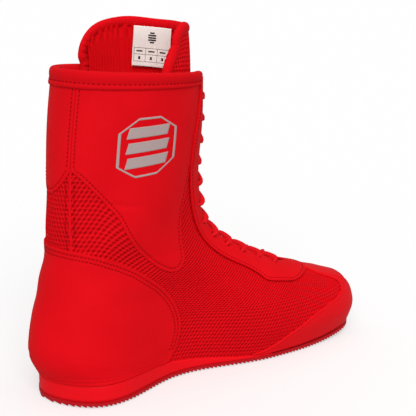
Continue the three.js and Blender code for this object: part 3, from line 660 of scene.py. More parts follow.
def openings_tree():
    """Openings of a spacer mesh: staggered leaning ovals sunk into the sheet along its normal; their share is
    kept for the material's painted shade.
    """
    tree = bpy.data.node_groups.new("mesh openings", "GeometryNodeTree")
    group_sockets(
        tree,
        [("Geometry", "Geometry"), ("Pitch", "Float", 2.8), ("Row", "Float", 3.1), ("Lean", "Float", 0.45),
         ("Width", "Float", 0.8), ("Height", "Float", 1.25), ("Depth", "Float", 0.0009),
         ("Rib", "Float", 0.0002), ("Material", "Material")],
        [("Geometry", "Geometry")],
    )
    n = Nodes(tree)
    given = n.add("NodeGroupInput").outputs
    cloth = n.add("GeometryNodeInputNamedAttribute", data_type="FLOAT_VECTOR")
    cloth.inputs["Name"].default_value = "cloth"
    u, v, _ = n.split(cloth.outputs[0])
    row = n.math("FLOOR", n.math("DIVIDE", v, given["Row"]))
    nearest = None
    for step in (-1.0, 0.0, 1.0):
        this = n.math("ADD", row, step)
        up = n.math("SUBTRACT", v, n.math("MULTIPLY", n.math("ADD", this, 0.5), given["Row"]))
        shifted = n.math("SUBTRACT", n.math("DIVIDE", u, given["Pitch"]), n.math("MULTIPLY", this, 0.5))
        near = n.math("SUBTRACT", n.math("FRACT", n.math("ADD", shifted, 0.5)), 0.5)
        across = n.math("MULTIPLY", near, given["Pitch"])
        leaned = n.math("SUBTRACT", across, n.math("MULTIPLY", up, given["Lean"]))
        a = n.math("DIVIDE", leaned, given["Width"])
        b = n.math("DIVIDE", up, given["Height"])
        far = n.math("SQRT", n.math("ADD", n.math("MULTIPLY", a, a), n.math("MULTIPLY", b, b)))
        nearest = far if nearest is None else n.math("MINIMUM", nearest, far)
    smooth = {"interpolation_type": "SMOOTHSTEP"}
    sunk = n.add("ShaderNodeMapRange", nearest, 0.55, 1.2, 1.0, 0.0, **smooth).outputs[0]
    crown = n.add("ShaderNodeMapRange", nearest, 1.0, 1.7, 0.0, 1.0, **smooth).outputs[0]
    drop = n.math("MULTIPLY", sunk, n.math("MULTIPLY", given["Depth"], -1.0))
    rise = n.math("ADD", drop, n.math("MULTIPLY", crown, given["Rib"]))
    scaled = n.add("ShaderNodeVectorMath", n.add("GeometryNodeInputNormal").outputs[0], operation="SCALE")
    n.feed(scaled.inputs["Scale"], rise)
    # The share of each opening is kept for the material, which paints shade there.
    kept = n.add("GeometryNodeStoreNamedAttribute", data_type="FLOAT", domain="POINT")
    n.feed(kept.inputs["Geometry"], given["Geometry"])
    kept.inputs["Name"].default_value = "opening_shade"
    n.feed(kept.inputs["Value"], sunk)
    moved = n.add("GeometryNodeSetPosition")
    n.feed(moved.inputs["Geometry"], kept.outputs[0])
    n.feed(moved.inputs["Offset"], scaled.outputs[0])
    coloured = n.add("GeometryNodeSetMaterial", moved.outputs[0])
    n.feed(coloured.inputs["Material"], given["Material"])
    real = n.add("GeometryNodeRealizeInstances", coloured.outputs[0])
    n.add("NodeGroupOutput", real.outputs[0])
    return tree


STITCH = stitch_tree()
OPENINGS = openings_tree()
stitch_lines = {"panel": [], "collar": []}
STITCH_SEED = 4


def stitch_piece(name, lines, pitch, length, thread):
    points, edges = [], []
    for line in lines:
        start = len(points)
        points += (np.asarray(line) * MM).tolist()
        edges += [(start + k, start + k + 1) for k in range(len(line) - 1)]
    mesh = bpy.data.meshes.new(name)
    mesh.from_pydata(points, edges, [])
    made = put_in_scene(name, mesh)
    sizes = {"Pitch": pitch * MM, "Length": length * MM, "Thread": thread * MM}
    # The stitches get the thread colour that holds painted shade.
    run_nodes(made, STITCH, **sizes, Seed=STITCH_SEED, Material=shade_painted_thread)
    return made


def rides(made, body, slot, *nodes):
    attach(made, body)
    if nodes:
        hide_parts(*nodes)
    return made


# ---------------------------------------------------------------- sole

SOLE_PROUD = 1.5
OUTSOLE = 4.2


def sole_edge(angle, proud):
    """Points of the sole's outline, pushed out from the feather line."""
    p = surface(0.0, angle)
    ahead = surface(0.0, angle + 0.3) - surface(0.0, angle - 0.3)
    ahead[..., 2] = 0
    ahead = unit(ahead)
    out = np.stack([-ahead[..., 1], ahead[..., 0], 0 * ahead[..., 0]], -1)
    return p + out * np.asarray(proud)[..., None]


TOOTH = 3.3
TOOTH_DEPTH = 1.5
TOOTH_RISE = 0.12


def ripple_outsole():
    """Tread sheet with saw-tooth ripples across the foot, cut as stations along its length."""
    ring = sole_edge(np.linspace(-180, 180, 1441), SOLE_PROUD)
    inner, outer = ring[:721], ring[720:][::-1]
    low, high = ring[:, 0].min() + 0.02, ring[:, 0].max() - 0.02
    count = int((high - low) / TOOTH)
    steps = np.array([0.0, 0.12, 0.45, 0.8])
    teeth = (np.arange(count)[:, None] + steps).ravel()
    stations = np.concatenate([low + teeth * (high - low) / count, [high]])
    ends = np.array([0.08, 0.25, 0.6])
    stations = np.unique(np.concatenate([stations, low + ends, high - ends]))
    phase = ((stations - low) / (high - low) * count) % 1
    tooth = np.where(phase < TOOTH_RISE, phase / TOOTH_RISE, 1 - (phase - TOOTH_RISE) / (1 - TOOTH_RISE))
    sides = []
    for half in (inner, outer):
        order = np.argsort(half[:, 0])
        sides.append(np.interp(stations, half[order, 0], half[order, 1]))
    base = sole_bottom(stations + ORIGIN[0])
    rings = []
    shares = np.array([0, 0.02, 0.12, 0.3, 0.5, 0.7, 0.88, 0.98, 1])
    lift = 0.5 * np.array([1, 0.25, 0, 0, 0, 0, 0, 0.25, 1])
    for x, y0, y1, z, cut in zip(stations, sides[0], sides[1], base, tooth):
        here = np.full(9, x)
        under = np.stack([here, mix(y0, y1, shares), z + TOOTH_DEPTH * cut + lift], -1)
        walls = np.stack([here, mix(y0, y1, shares[::-1]), z + OUTSOLE - 0.5 * lift[::-1]], -1)
        rings.append(np.concatenate([under, walls]))
    made = loft("outsole_ripple", np.array(rings), tread_rubber)
    made.data.shade_flat()
    return rides(made, "boot", "outsole_rubber", "outsole")


WEDGE_END = 108
# How far each point of the sidewall stands out and its share of the height
WEDGE_PROFILE = ((-7, 1.0), (-0.6, 1.0), (0.2, 0.985), (0.55, 0.94), (0.75, 0.86), (0.9, 0.66), (1.0, 0.45),
                 (1.05, 0.2), (1.1, 0.0), (-7, 0.0))


def midsole():
    """Smooth bright sidewall above the tread, thick under the heel and run out before the ball."""
    proud, share = np.array(WEDGE_PROFILE).T
    angles = np.linspace(-WEDGE_END, WEDGE_END, 261)[:, None]
    x = surface(0.0, angles)[..., 0] + ORIGIN[0]
    low = sole_bottom(x) + OUTSOLE - 0.1
    high = np.maximum(sole_top(x) + 0.2, low + 0.7)
    rings = sole_edge(angles + 0 * proud, proud + 0 * angles)
    rings[..., 2] = mix(low, high, share)
    made = loft("midsole_sidewall", rings, sidewall_rubber)
    return rides(made, "boot", "sidewall_rubber", "heel_wedge")


ROLLED_EDGE = 1.2


def foot_plate(name, proud, low, high, material, crown=0.0):
    """A plate over the whole foot, inside the feather line, with a rolled edge."""
    angles = np.linspace(0.5, 179.5, 150)
    across = np.array([0, 0.01, 0.03, 0.08, 0.2, 0.35, 0.5, 0.65, 0.8, 0.92, 0.97, 0.99, 1])
    inner, outer = sole_edge(-angles, proud), sole_edge(angles, proud)
    grid = mix(inner[:, None], outer[:, None], across[None, :, None])
    x = grid[..., 0] + ORIGIN[0]
    edge = np.minimum(across, 1 - across)
    roll = np.clip(edge / 0.08, 0, 1)[None]
    top, bottom = grid.copy(), grid.copy()
    rolled = ROLLED_EDGE * (1 - np.sqrt(1 - (1 - roll) ** 2))
    top[..., 2] = sole_top(x) + high - rolled + crown * (1 - np.clip(edge / 0.3, 0, 1)) ** 2
    bottom[..., 2] = sole_top(x) + low
    return slab(name, top, bottom, material)


# ---------------------------------------------------------------- overlays of the upper

ROUND = [0, 0.06, 0.18, 0.36, 0.6]


def inward(edge, far, distances, shares, loop=False, centre=None):
    """Rows of places that run in from an edge: first at true distances from it, then evenly on.

    With a centre, the rows set out towards far and then bend to meet in the centre.
    """
    start = surface(edge[:, 0], edge[:, 1])
    ray = (surface(*(edge + (far - edge) * 0.02).T) - start) / 0.02
    along = np.roll(start, -1, 0) - np.roll(start, 1, 0) if loop else np.gradient(start, axis=0)
    length = np.linalg.norm(ray, axis=1)
    straight = np.linalg.norm(across_only(ray, unit(along)), axis=1)
    straight = np.maximum(straight, 0.3 * length)
    rows = [np.minimum(d / straight, 0.9) for d in distances]
    last = rows[-1] if rows else np.zeros(len(edge))
    rows += [last + (1 - last) * s for s in shares]
    share = np.stack(rows, 1)[..., None]
    places = edge[:, None] + (far - edge)[:, None] * share
    return places if centre is None else places + (centre - far)[:, None] * share**2


def edge_drop(distances, total, radius=0.6):
    """How far an overlay's face lies under its full height, near its rounded edge."""
    d = np.zeros(total)
    d[: len(distances)] = distances
    d[len(distances):] = radius
    u = np.clip(d / radius, 0, 1)
    return radius * (1 - np.sqrt(np.maximum(0, 1 - (1 - u) ** 2)))


def grooves(distances, total, lines, depth=0.3, width=0.55):
    d = np.full(total, 99.0)
    d[: len(distances)] = distances
    return sum((depth * np.exp(-(((d - g) / width) ** 2)) for g in lines), np.zeros(total))


INNER_ROWS = (0.12, 0.26, 0.42, 0.58, 0.74, 0.88, 0.97)
EDGE_ROWS = [*ROUND, 1.1, 1.6, 2.1, 2.6, 3.1, 3.7, 4.4, 5.1, 5.8, 6.6, 7.6, 9]


def spine_points(outline, spine):
    """The place on an upright spine, given by its two ends, that each point of an outline faces."""
    high, low = np.array(spine, float)
    share = np.clip((outline[:, 0] - high[0]) / (low[0] - high[0]), 0, 1)
    return high + (low - high) * share[:, None]


def patch(name, outline, spine, top, bottom, material, sewn=(), shares=INNER_ROWS):
    """An overlay inside a closed outline, with a rounded edge and a groove under each line of sewing."""
    centre = np.mean(spine, 0)
    places = inward(outline, spine_points(outline, spine), EDGE_ROWS, shares, loop=True, centre=centre)
    total = places.shape[1]
    fall = edge_drop(EDGE_ROWS, total) + grooves(EDGE_ROWS, total, sewn, 0.4)
    n, m = places.shape[:2]
    outer = over(places[..., 0], places[..., 1], top - fall)
    inner = over(places[..., 0], places[..., 1], bottom)
    middles = [over(*centre, top), over(*centre, bottom)]
    points = np.concatenate([outer.reshape(-1, 3), inner.reshape(-1, 3), middles])
    size = n * m
    faces = grid_faces(n, m, 0, False, True) + grid_faces(n, m, size, True, True)
    for i in range(n):
        k = (i + 1) % n
        faces.append([i * m, size + i * m, size + k * m, k * m])
        faces.append([i * m + m - 1, k * m + m - 1, 2 * size])
        faces.append([size + k * m + m - 1, size + i * m + m - 1, 2 * size + 1])
    return piece(name, points, outward_faces(points, faces), material)


def sewing(outline, spine, distance, first, last, offset):
    """A line at a distance inside an outline, between two shares of its length."""
    far = spine_points(outline, spine)
    places = inward(outline, far, [distance], [], loop=True, centre=np.mean(spine, 0))[:, 0]
    n = len(outline)
    keep = places[int(first * n): int(last * n) + 1]
    return over(keep[:, 0], keep[:, 1], offset)


def mirrored(half, turn=-360):
    """A half outline followed by its mirror image, from where the two meet."""
    return np.concatenate([half, np.stack([half[::-1, 0], turn - half[::-1, 1]], -1)[1:]])


BOTTOM = 0.06
REAR_SEAM = 28
SEAM_GAP = 0.12
PANEL_RIM = 8.92
PANEL_TOP, PANEL_UNDER = 0.75, -0.75
SEWN_IN, SECOND_ROW = 2.6, 5.4
THREAD_SUNK = 0.12
PANEL_EDGE = 14.2
LOBE = [(7.67, 28), (7.55, 37), (7.38, 46), (7.15, 56), (6.8, 67), (6.3, 74), (5.6, 83), (5.05, 88.5),
        (4.8, 93), (4.84, 99), (5.2, 108), (5.85, 117), (6.5, 125), (7.0, 133), (7.35, 139)]


def side_panel(side):
    """Smooth panel of the shaft with its lobe hanging down over the ankle."""
    lobe = spline([(t, a + (SEAM_GAP if a == REAR_SEAM else 0)) for t, a in LOBE], 150)
    throat = spline([(t, angle_at(t, PANEL_EDGE)) for t in np.linspace(7.5, 8.9, 6)], 30)[1:]
    back = REAR_SEAM + SEAM_GAP
    rim = spline([(PANEL_RIM, a) for a in np.linspace(float(throat[-1, 1]) - 1, back, 24)], 90)
    seam = spline([(t, back) for t in np.linspace(8.88, 7.70, 8)], 40)[:-1]
    outline = np.concatenate([lobe, throat, rim, seam])
    outline[:, 1] *= side
    spine = ((8.3, side * 88), (5.75, side * 96))
    name = "shaft_panel_inner_skin" if side < 0 else "shaft_panel_outer_skin"
    made = patch(name, outline, spine, PANEL_TOP, PANEL_UNDER, smooth_overlay, sewn=(SEWN_IN,))
    n = len(outline)
    for first, last in ((0.004, 150 / n), ((n - 39) / n, 0.9999)):
        stitch_lines["panel"].append(sewing(outline, spine, SEWN_IN, first, last, 0.6))
    return rides(made, "boot", "upper_overlay", "shaft_panel_inner" if side < 0 else "shaft_panel_outer")


def back_edge(a):
    """Level of the back panel's round lower edge."""
    return mix(7.28, 7.66, np.abs(a / REAR_SEAM) ** 2.2)


def back_panel():
    """Stiff panel up the back of the shaft, with a round lower edge."""
    width = REAR_SEAM - SEAM_GAP
    low = spline([(back_edge(a), a) for a in np.linspace(-width, width, 13)], 70)
    right = spline([(t, width) for t in np.linspace(7.70, 8.88, 8)], 40)
    rim = spline([(PANEL_RIM, a) for a in np.linspace(width, -width, 9)], 60)
    left = spline([(t, -width) for t in np.linspace(8.88, 7.70, 8)], 40)
    outline = np.concatenate([low, right[1:], rim, left[:-1]])
    spine = ((8.5, 0), (7.8, 0))
    made = patch("back_panel_skin", outline, spine, PANEL_TOP, PANEL_UNDER, smooth_overlay, sewn=(SEWN_IN,))
    n = len(outline)
    for first, last in ((0.01, 69 / n), (71 / n, 109 / n), ((n - 38) / n, 0.9999)):
        stitch_lines["panel"].append(sewing(outline, spine, SEWN_IN, first, last, 0.6))
    return rides(made, "boot", "upper_overlay", "back_panel")


COUNTER = [(0.1, 70), (0.74, 73.5), (1.33, 75.6), (2.2, 77.6), (3.11, 80.6), (3.9, 81.6), (4.5, 80.6),
           (5.03, 76.6), (5.4, 70), (5.68, 62), (5.93, 51), (6.07, 38), (6.13, 24), (6.15, 11), (6.15, 0)]
COUNTER_TOP = 1.5


def heel_counter():
    """Rounded shield of the heel, sewn down by two rows just inside its edge."""
    half = spline(COUNTER, 170)
    bottom = spline([(0.04, a) for a in np.linspace(-69, 69, 30)], 150)
    outline = np.concatenate([mirrored(half, 0), bottom[1:-1]])
    spine = ((4.4, 0), (1.8, 0))
    rows = (SEWN_IN, SECOND_ROW)
    made = patch("heel_counter_skin", outline, spine, COUNTER_TOP, -0.4, smooth_overlay, sewn=rows,
                 shares=(0.1, 0.2, 0.3, 0.4, 0.5, 0.6, 0.7, 0.8, 0.9, 0.97))
    n = len(outline)
    for distance in rows:
        line = sewing(outline, spine, distance, 12 / n, 327 / n, COUNTER_TOP - THREAD_SUNK)
        stitch_lines["panel"].append(line)
    return rides(made, "boot", "upper_overlay", "heel_counter")


# Level, angle and the angle faced on the feather line
TOE_EDGE = [(0.1, 102, 100), (0.3, 107, 104), (0.64, 113, 108), (0.95, 119, 116), (1.22, 126, 125),
            (1.4, 135, 135), (1.52, 144, 144), (1.69, 150.5, 152), (1.95, 153.6, 158), (2.28, 154.3, 163),
            (2.62, 157, 168), (2.88, 163, 173), (3.08, 170, 177), (3.16, 180, 180)]


def toe_cap():
    """Moulded toe guard: low along both sides, up over the toes and back along the vamp's ridge."""
    half = spline([(t, -a) for t, a, _ in TOE_EDGE], 150)
    low = np.interp(np.linspace(0, 1, 150), np.linspace(0, 1, len(TOE_EDGE)), [-b for _, _, b in TOE_EDGE])
    edge = mirrored(half)
    under = np.concatenate([low, (-360 - low)[::-1][1:]])
    far = np.stack([np.full(len(under), 0.05), under], -1)
    rows = [*ROUND, 1.0, 1.5, 1.9, 2.3, 2.8, 3.4, 4.2, 5.2]
    places = inward(edge, far, rows, [0.14, 0.3, 0.46, 0.62, 0.78, 0.9, 1.0])
    total = places.shape[1]
    fall = edge_drop(rows, total) + grooves(rows, total, (2.3,), 0.4, 0.42)
    fall -= grooves(rows, total, (1.2,), 0.12, 0.6)
    reach = np.linalg.norm(surface(*edge.T) - surface(*far.T), axis=1)
    thin = np.clip(reach / 7, 0, 1)[:, None]
    outer = over(places[..., 0], places[..., 1], mix(0.2, 1.3 - fall[None], thin))
    inner = over(places[..., 0], places[..., 1], -0.5)
    made = slab("toe_cap_skin", outer, inner, moulded_cap)
    weld(made)
    return rides(made, "boot", "upper_overlay", "toe_cap")


# ---------------------------------------------------------------- spacer mesh

PITCH, ROW, FINE = 2.85, 3.15, 4
STRETCH, STRETCHED_TO, EVEN_FROM = 1.28, -32, 4
CLOTH_SUNK, CLOTH_WALL = -0.1, 0.6


def stretched(u):
    """Cloth coordinate of a distance along the rows: the mesh is pulled wider behind the ankle."""
    steps = np.arange(-160, 420, 0.5)
    cloth = np.cumsum(0.5 / mix(STRETCH, 1, ease(STRETCHED_TO, EVEN_FROM, steps)))
    cloth -= np.interp(0, steps, cloth)
    return np.interp(u, steps, cloth)


def cloth_places(side_angles, u_zero, lean):
    """Height and distance along the rows, in cloth millimetres, of a grid of places on the upper."""
    levels = np.linspace(0, TOP_LEVEL, 181)
    grid = surface(levels[:, None], side_angles[None])
    up = np.stack([run_along(grid[:, k]) for k in range(len(side_angles))], 1)
    way = np.stack([run_along(line) for line in grid])
    for line, points in zip(way, grid):
        line -= np.interp(0, side_angles, line) if u_zero is None else np.interp(u_zero, points[:, 0], line)
    return levels, up, (way if u_zero is None else stretched(way)) + lean * up


def cloth_sheet(name, angles, u_zero, keep, lean=-0.1, mirror=1):
    """A sheet of spacer mesh over a stretch of the upper, its grid laid along the cloth's own rows."""
    levels, up, way = cloth_places(mirror * angles, u_zero, lean)
    rows = np.arange(0, up.max(), ROW / FINE)
    cols = np.arange(np.floor(way.min() / PITCH) * PITCH, way.max(), PITCH / FINE)
    index = np.arange(len(angles))
    t_of = np.stack([np.interp(rows, up[:, k], levels) for k in index], 1)
    full = np.stack([rows <= up[-1, k] for k in index], 1)
    T = np.full((len(cols), len(rows)), np.nan)
    A = np.full((len(cols), len(rows)), np.nan)
    for j in range(len(rows)):
        place = np.clip(np.searchsorted(levels, t_of[j]) - 1, 0, len(levels) - 2)
        u = (t_of[j] - levels[place]) / (levels[1] - levels[0])
        along = mix(way[place, index], way[place + 1, index], u)
        if not full[j].any():
            continue
        good = (cols >= along[full[j]].min()) & (cols <= along[full[j]].max())
        A[good, j] = np.interp(cols[good], along, angles)
        T[good, j] = np.interp(A[good, j], angles, t_of[j])
    valid = ~np.isnan(T)
    T, A = np.nan_to_num(T), np.nan_to_num(A, nan=90.0)
    used = valid & keep(T, A)
    faces = np.array(grid_faces(*T.shape))
    faces = faces[used.ravel()[faces].all(1)]
    kept = np.unique(faces)
    turn = np.full(T.size, -1)
    turn[kept] = np.arange(len(kept))
    t, a = T.ravel()[kept], mirror * A.ravel()[kept]
    points = over(t, a, CLOTH_SUNK)
    faces = turn[faces]
    p = points[faces[:, :3]]
    way_out = np.cross(p[:, 1] - p[:, 0], p[:, 2] - p[:, 0])
    if (way_out * outward(t, a)[faces[:, 0]]).sum() < 0:
        faces = faces[:, ::-1]
    made = piece(name, points, faces.tolist(), upper_mesh)
    u_all, v_all = np.meshgrid(cols, rows, indexing="ij")
    cloth = np.stack([u_all.ravel()[kept], v_all.ravel()[kept], 0 * kept], -1)
    put_vector(made, "cloth", cloth)
    run_nodes(made, OPENINGS, Pitch=PITCH, Row=ROW, Material=upper_mesh)
    wall = made.modifiers.new("wall", "SOLIDIFY")
    wall.thickness = CLOTH_WALL * MM
    wall.offset = -1
    return made


def level_line(points, angles):
    """A line of [level, angle] places read as level against angle."""
    p = np.array(sorted(points, key=lambda q: q[1]))
    return np.interp(angles, p[:, 1], p[:, 0])


THROAT_LEVELS = [6.9, 6.5, 6.1, 5.7, 5.3, 4.9, 4.5, 4.15, 3.8]
THROAT_LINE = [(t, float(angle_at(t, PANEL_EDGE - 2))) for t in THROAT_LEVELS]
VAMP_TOP = [*LOBE, *THROAT_LINE, (3.45, 164), (3.2, 180)]


def keep_vamp(t, a):
    """The vamp's mesh runs a little way under each overlay, and stops there."""
    under_panel = t < level_line(VAMP_TOP, a) + 0.12 + 0.1 * (t < 5.5)
    shield = level_line([(t_, a_) for t_, a_ in COUNTER if t_ > 4.9], a)
    behind = (a < 73) & (t < shield - 0.35) & (a < np.interp(t, [0, 2, 4, 5.2], [64, 71, 75, 70]))
    cap = level_line([(t_, a_) for t_, a_, _ in TOE_EDGE], a)
    toe = (a > 106) & (t < cap - 0.3)
    return under_panel & ~behind & ~toe


def rear_seam(side):
    """Narrow felled ridge that joins the meshes, with a row of sewing on each side of it."""
    t = np.linspace(5.95, 7.68, 90)[:, None]
    across = np.linspace(-1, 1, 9)[None]
    a = REAR_SEAM + 1.1 * across
    a, t = np.broadcast_arrays(side * a, t)
    outer = over(t, a, 0.12 - 0.12 * across**4)
    inner = over(t, a, -0.9)
    made = slab("rear_seam_inner" if side < 0 else "rear_seam_outer", outer, inner, smooth_overlay)
    line = np.linspace(6.18, 7.5, 80)
    for gap in (-3.8, 3.8):
        stitch_lines["panel"].append(over(line, side * (REAR_SEAM + gap), 0.15))
    return rides(made, "boot", "upper_mesh")


def vamp(side):
    angles = np.linspace(REAR_SEAM + 0.1, 180, 220)
    name = "vamp_mesh_inner" if side < 0 else "vamp_mesh_outer"
    made = cloth_sheet(name, angles, -45.0, keep_vamp, mirror=side)
    return rides(made, "boot", "upper_mesh", "vamp_mesh")


def rear_insert():
    angles = np.linspace(-REAR_SEAM + 0.1, REAR_SEAM - 0.1, 81)

    def keep(t, a):
        return (t > 5.75) & (t < back_edge(a) + 0.1)

    made = cloth_sheet("rear_mesh_insert", angles, None, keep, lean=0.15)
    return rides(made, "boot", "upper_mesh", "rear_mesh")


# ---------------------------------------------------------------- eyestay and lace

EYESTAY_EDGE = [(8.74, 22), (8.2, 24), (7.7, 24), (7.2, 21), (6.7, 18.5), (6.3, 17), (5.9, 16.5), (5.6, 17),
                (5.3, 17.8), (5, 18.8), (4.6, 20.5), (4.1, 23), (3.7, 26.5), (3.3, 30.5)]
EYESTAY_TIP = [(3.02, -132), (2.88, -136), (2.9, -142), (2.98, -152), (3.05, -166), (3.06, -180)]
THROAT = 6.5
LACE_LINE = 10.5
HOLE_PAIRS = 12
HOLE_LOW, HOLE_HIGH = 3.85, 8.5
EYESTAY_TOP, EYESTAY_UNDER = 2.3, 0.7
EYESTAY_SEWN = 2.1


def hole_levels():
    ts = np.linspace(HOLE_LOW, HOLE_HIGH, 201)
    run = run_along(surface(ts, 165.0))
    want = run[-1] * np.arange(HOLE_PAIRS) / (HOLE_PAIRS - 1)
    return [ts[max(0, int(np.argmax(run >= w - 1e-6)))] for w in want]


HOLES = hole_levels()
EYELET = 2.3
PUNCH_REACH = 4


def near_front(t, distance, side, offset):
    return over(t, angle_at(t, distance, side), offset)


def eyestay():
    """Smooth U of the throat, folded over at its edges and punched with two rows of holes."""
    leg = [(t, float(angle_at(t, w, -1))) for t, w in EYESTAY_EDGE]
    outside = spline([(8.9, float(angle_at(8.9, 22, -1))), *leg, *EYESTAY_TIP], 220)
    tops = [8.9, 8.5, 8.2, 7.7, 7.2, 6.7, 6.2, 5.8, 5.4, 5.05, 4.75, 4.4, 4.15, 3.95, 3.85]
    tip = [(3.75, 6.5), (3.66, 5.5), (3.6, 4), (3.57, 2)]
    edge = [*((t, THROAT) for t in tops), *tip]
    inside = spline([*((t, float(angle_at(t, w, -1))) for t, w in edge), (3.56, -180)], 220)
    both = mirrored(outside), mirrored(inside)
    near = [*ROUND, 1.1, 1.6, 2.1, 2.7, 3.3]
    a = inward(both[0], both[1], near, [])
    b = inward(both[1], both[0], near, [])[:, ::-1]
    gap = b[:, :1] - a[:, -1:]
    between = a[:, -1:] + gap * np.array([0.2, 0.4, 0.6, 0.8])[None, :, None]
    places = np.concatenate([a, between, b], 1)
    drop = edge_drop(near, len(near)) + grooves(near, len(near), (EYESTAY_SEWN,), 0.25, 0.5)
    fall = np.concatenate([drop, np.zeros(4), edge_drop(near, len(near))[::-1]])
    outer = over(places[..., 0], places[..., 1], EYESTAY_TOP - fall[None])
    inner = over(places[..., 0], places[..., 1], EYESTAY_UNDER)
    made = slab("eyestay_skin", outer, inner, smooth_overlay)
    punch_holes(made)
    n = len(both[0])
    line = inward(both[0], both[1], [EYESTAY_SEWN], [])[:, 0][6: n - 6]
    stitch_lines["panel"].append(over(line[:, 0], line[:, 1], EYESTAY_TOP - THREAD_SUNK))
    return rides(made, "boot", "upper_overlay", "eyestay")


def punch_holes(made):
    """Cuts the lace holes through the eyestay."""
    points, faces = [], []
    sides = 20
    turn = 2 * math.pi * np.arange(sides)[:, None] / sides
    for t, side in ((t, side) for t in HOLES for side in (-1, 1)):
        angle = angle_at(t, LACE_LINE, side)
        out = outward(t, angle)
        u = unit(np.cross(out, [0, 1, 0]))
        ring = over(t, angle, 1.2) + EYELET * (u * np.cos(turn) + np.cross(out, u) * np.sin(turn))
        start = len(points)
        points += [*(ring - PUNCH_REACH * out), *(ring + PUNCH_REACH * out)]
        low = list(range(start, start + sides))
        high = [k + sides for k in low]
        faces += [[low[k - 1], low[k], high[k], high[k - 1]] for k in range(sides)]
        faces += [low[::-1], high]
    points = np.array(points)
    tool = piece("punch", points, outward_faces(points, faces), smooth_overlay)
    cutter = made.modifiers.new("punch", "BOOLEAN")
    cutter.operation = "DIFFERENCE"
    cutter.solver = "EXACT"
    cutter.object = tool
    settle(made, cutter)
    bpy.data.objects.remove(tool)


FLAT_ABOVE = 7.25
LACE = {
    "under": -2.4, "low": -1.9, "in_hole": 1.4, "above": 3.3, "over_edge": 3.8, "over": 2.6, "beneath": -0.6,
}
# How much lower the snug laces of the shaft lie: beside their holes, over the edge and where they cross
SNUG = {"above": 1.1, "over_edge": 1.6, "crossing": 2.4}
LACE_TUCK = -5.1
LACE_RUN = (0.3, 0.7, 1.1, 1.5, 1.9)
LACE_HALF = (2.2, 1.45)
LEG_MIDDLE = np.array([-12.0, 0, 150.0])


def lace_strand(side, goes_over):
    points = []
    for i, t in enumerate(HOLES):
        here = -side if i % 2 else side
        points.append(near_front(t, LACE_LINE + 0.5, here, LACE["low"]))
        points.append(near_front(t, LACE_LINE + 0.4, here, LACE["in_hole"]))
        snug = float(ease(FLAT_ABOVE - 0.3, FLAT_ABOVE + 0.1, t))
        points.append(near_front(t, LACE_LINE - 0.8 - snug, here, LACE["above"] - SNUG["above"] * snug))
        if i == HOLE_PAIRS - 1:
            break
        after = HOLES[i + 1]
        on_edge = LACE["over_edge"] - SNUG["over_edge"] * snug
        points.append(near_front(mix(t, after, 0.14), THROAT + 0.4, here, on_edge))
        above = goes_over == (i % 2 == 0)
        crossing = LACE["over" if above else "beneath"] - SNUG["crossing"] * snug
        points.append(over(mix(t, after, 0.5), 180.0, crossing))
        points.append(near_front(mix(t, after, 0.72), 3.8, -here, LACE["under"] + (1 if above else 0.4)))
        points.append(near_front(mix(t, after, 0.88), THROAT + 0.8, -here, LACE["under"]))
    return points


def tucked_end(side):
    top = HOLES[-1]
    places = [(0.06, 6.4, LACE["over_edge"] - 1.0), (0.06, 4.2, 1.0), (0, 4.6, -2), (-0.12, 6.6, LACE_TUCK)]
    places += [(-down, 9.4, LACE_TUCK) for down in LACE_RUN]
    return [near_front(top + up, distance, side, offset) for up, distance, offset in places]


def lace_route():
    end = 1 if HOLE_PAIRS % 2 else -1
    inner = [*lace_strand(-1, True), *tucked_end(-end)]
    outer = [*lace_strand(1, False), *tucked_end(end)]
    first, under = HOLES[0], LACE["under"]
    ends = [near_front(first, THROAT, side, under) for side in (-1, 1)]
    bar = [ends[0], over(first, 180.0, under), ends[1]]
    return np.array([*inner[::-1], *bar, *outer])


def carried_frames(path):
    """Directions along and up from a path, turned as little as possible from step to step."""
    ahead = unit(np.gradient(path, axis=0))
    side = unit(np.cross(ahead[0], [0, 0, 1.0]))
    sides = []
    for way in ahead:
        side = unit(across_only(side, way))
        sides.append(side)
    return ahead, np.cross(ahead, np.array(sides))


def lace():
    """Braided flat-oval lace; the braid shows as small swells along it."""
    path = spline(lace_route(), 1500)
    ahead, ups = carried_frames(path)
    from_leg = path - LEG_MIDDLE
    from_leg[:, 1] *= 0.4
    flat = across_only(from_leg, ahead)
    size = np.linalg.norm(flat, axis=1, keepdims=True)
    flat = np.where(size > 1e-6, flat / np.maximum(size, 1e-6), ups)
    for _ in range(12):
        flat[1:-1] = (flat[:-2] + flat[1:-1] + flat[2:]) / 3
        flat = unit(across_only(flat, ahead))
    around = np.linspace(0, 2 * math.pi, 15)[:-1]
    run = np.arange(len(path))[:, None]
    swell = 1 + 0.05 * np.sin(run * 0.9 + 2 * around) * np.sin(run * 0.9 - 2 * around)
    rings = oval_rings(path, np.cross(ahead, flat), flat, LACE_HALF, around, swell)
    made = loft("lace_cord", rings, braided_lace)
    return rides(made, "boot", "lace_cord", "lace")


# ---------------------------------------------------------------- collar

# Offset and level round the section of the band
COLLAR = [(0.45, 8.782), (0.9, 8.768), (1.6, 8.772), (1.95, 8.79), (2.0, 8.812), (1.5, 8.832), (1.28, 8.845),
          (1.4, 8.858), (1.75, 8.885), (1.9, 8.925), (1.75, 8.958), (1.2, 8.985), (0.2, 9.002), (-1.0, 9.008),
          (-2.6, 9.004), (-4.2, 8.99), (-5.6, 8.965), (-6.3, 8.93), (-6.6, 8.88), (-6.5, 8.83), (-6.35, 8.79),
          (-6.0, 8.772), (-5.65, 8.79), (-5.5, 8.92), (-4.6, 8.95), (-1.2, 8.972), (0.2, 8.97), (0.35, 8.80)]


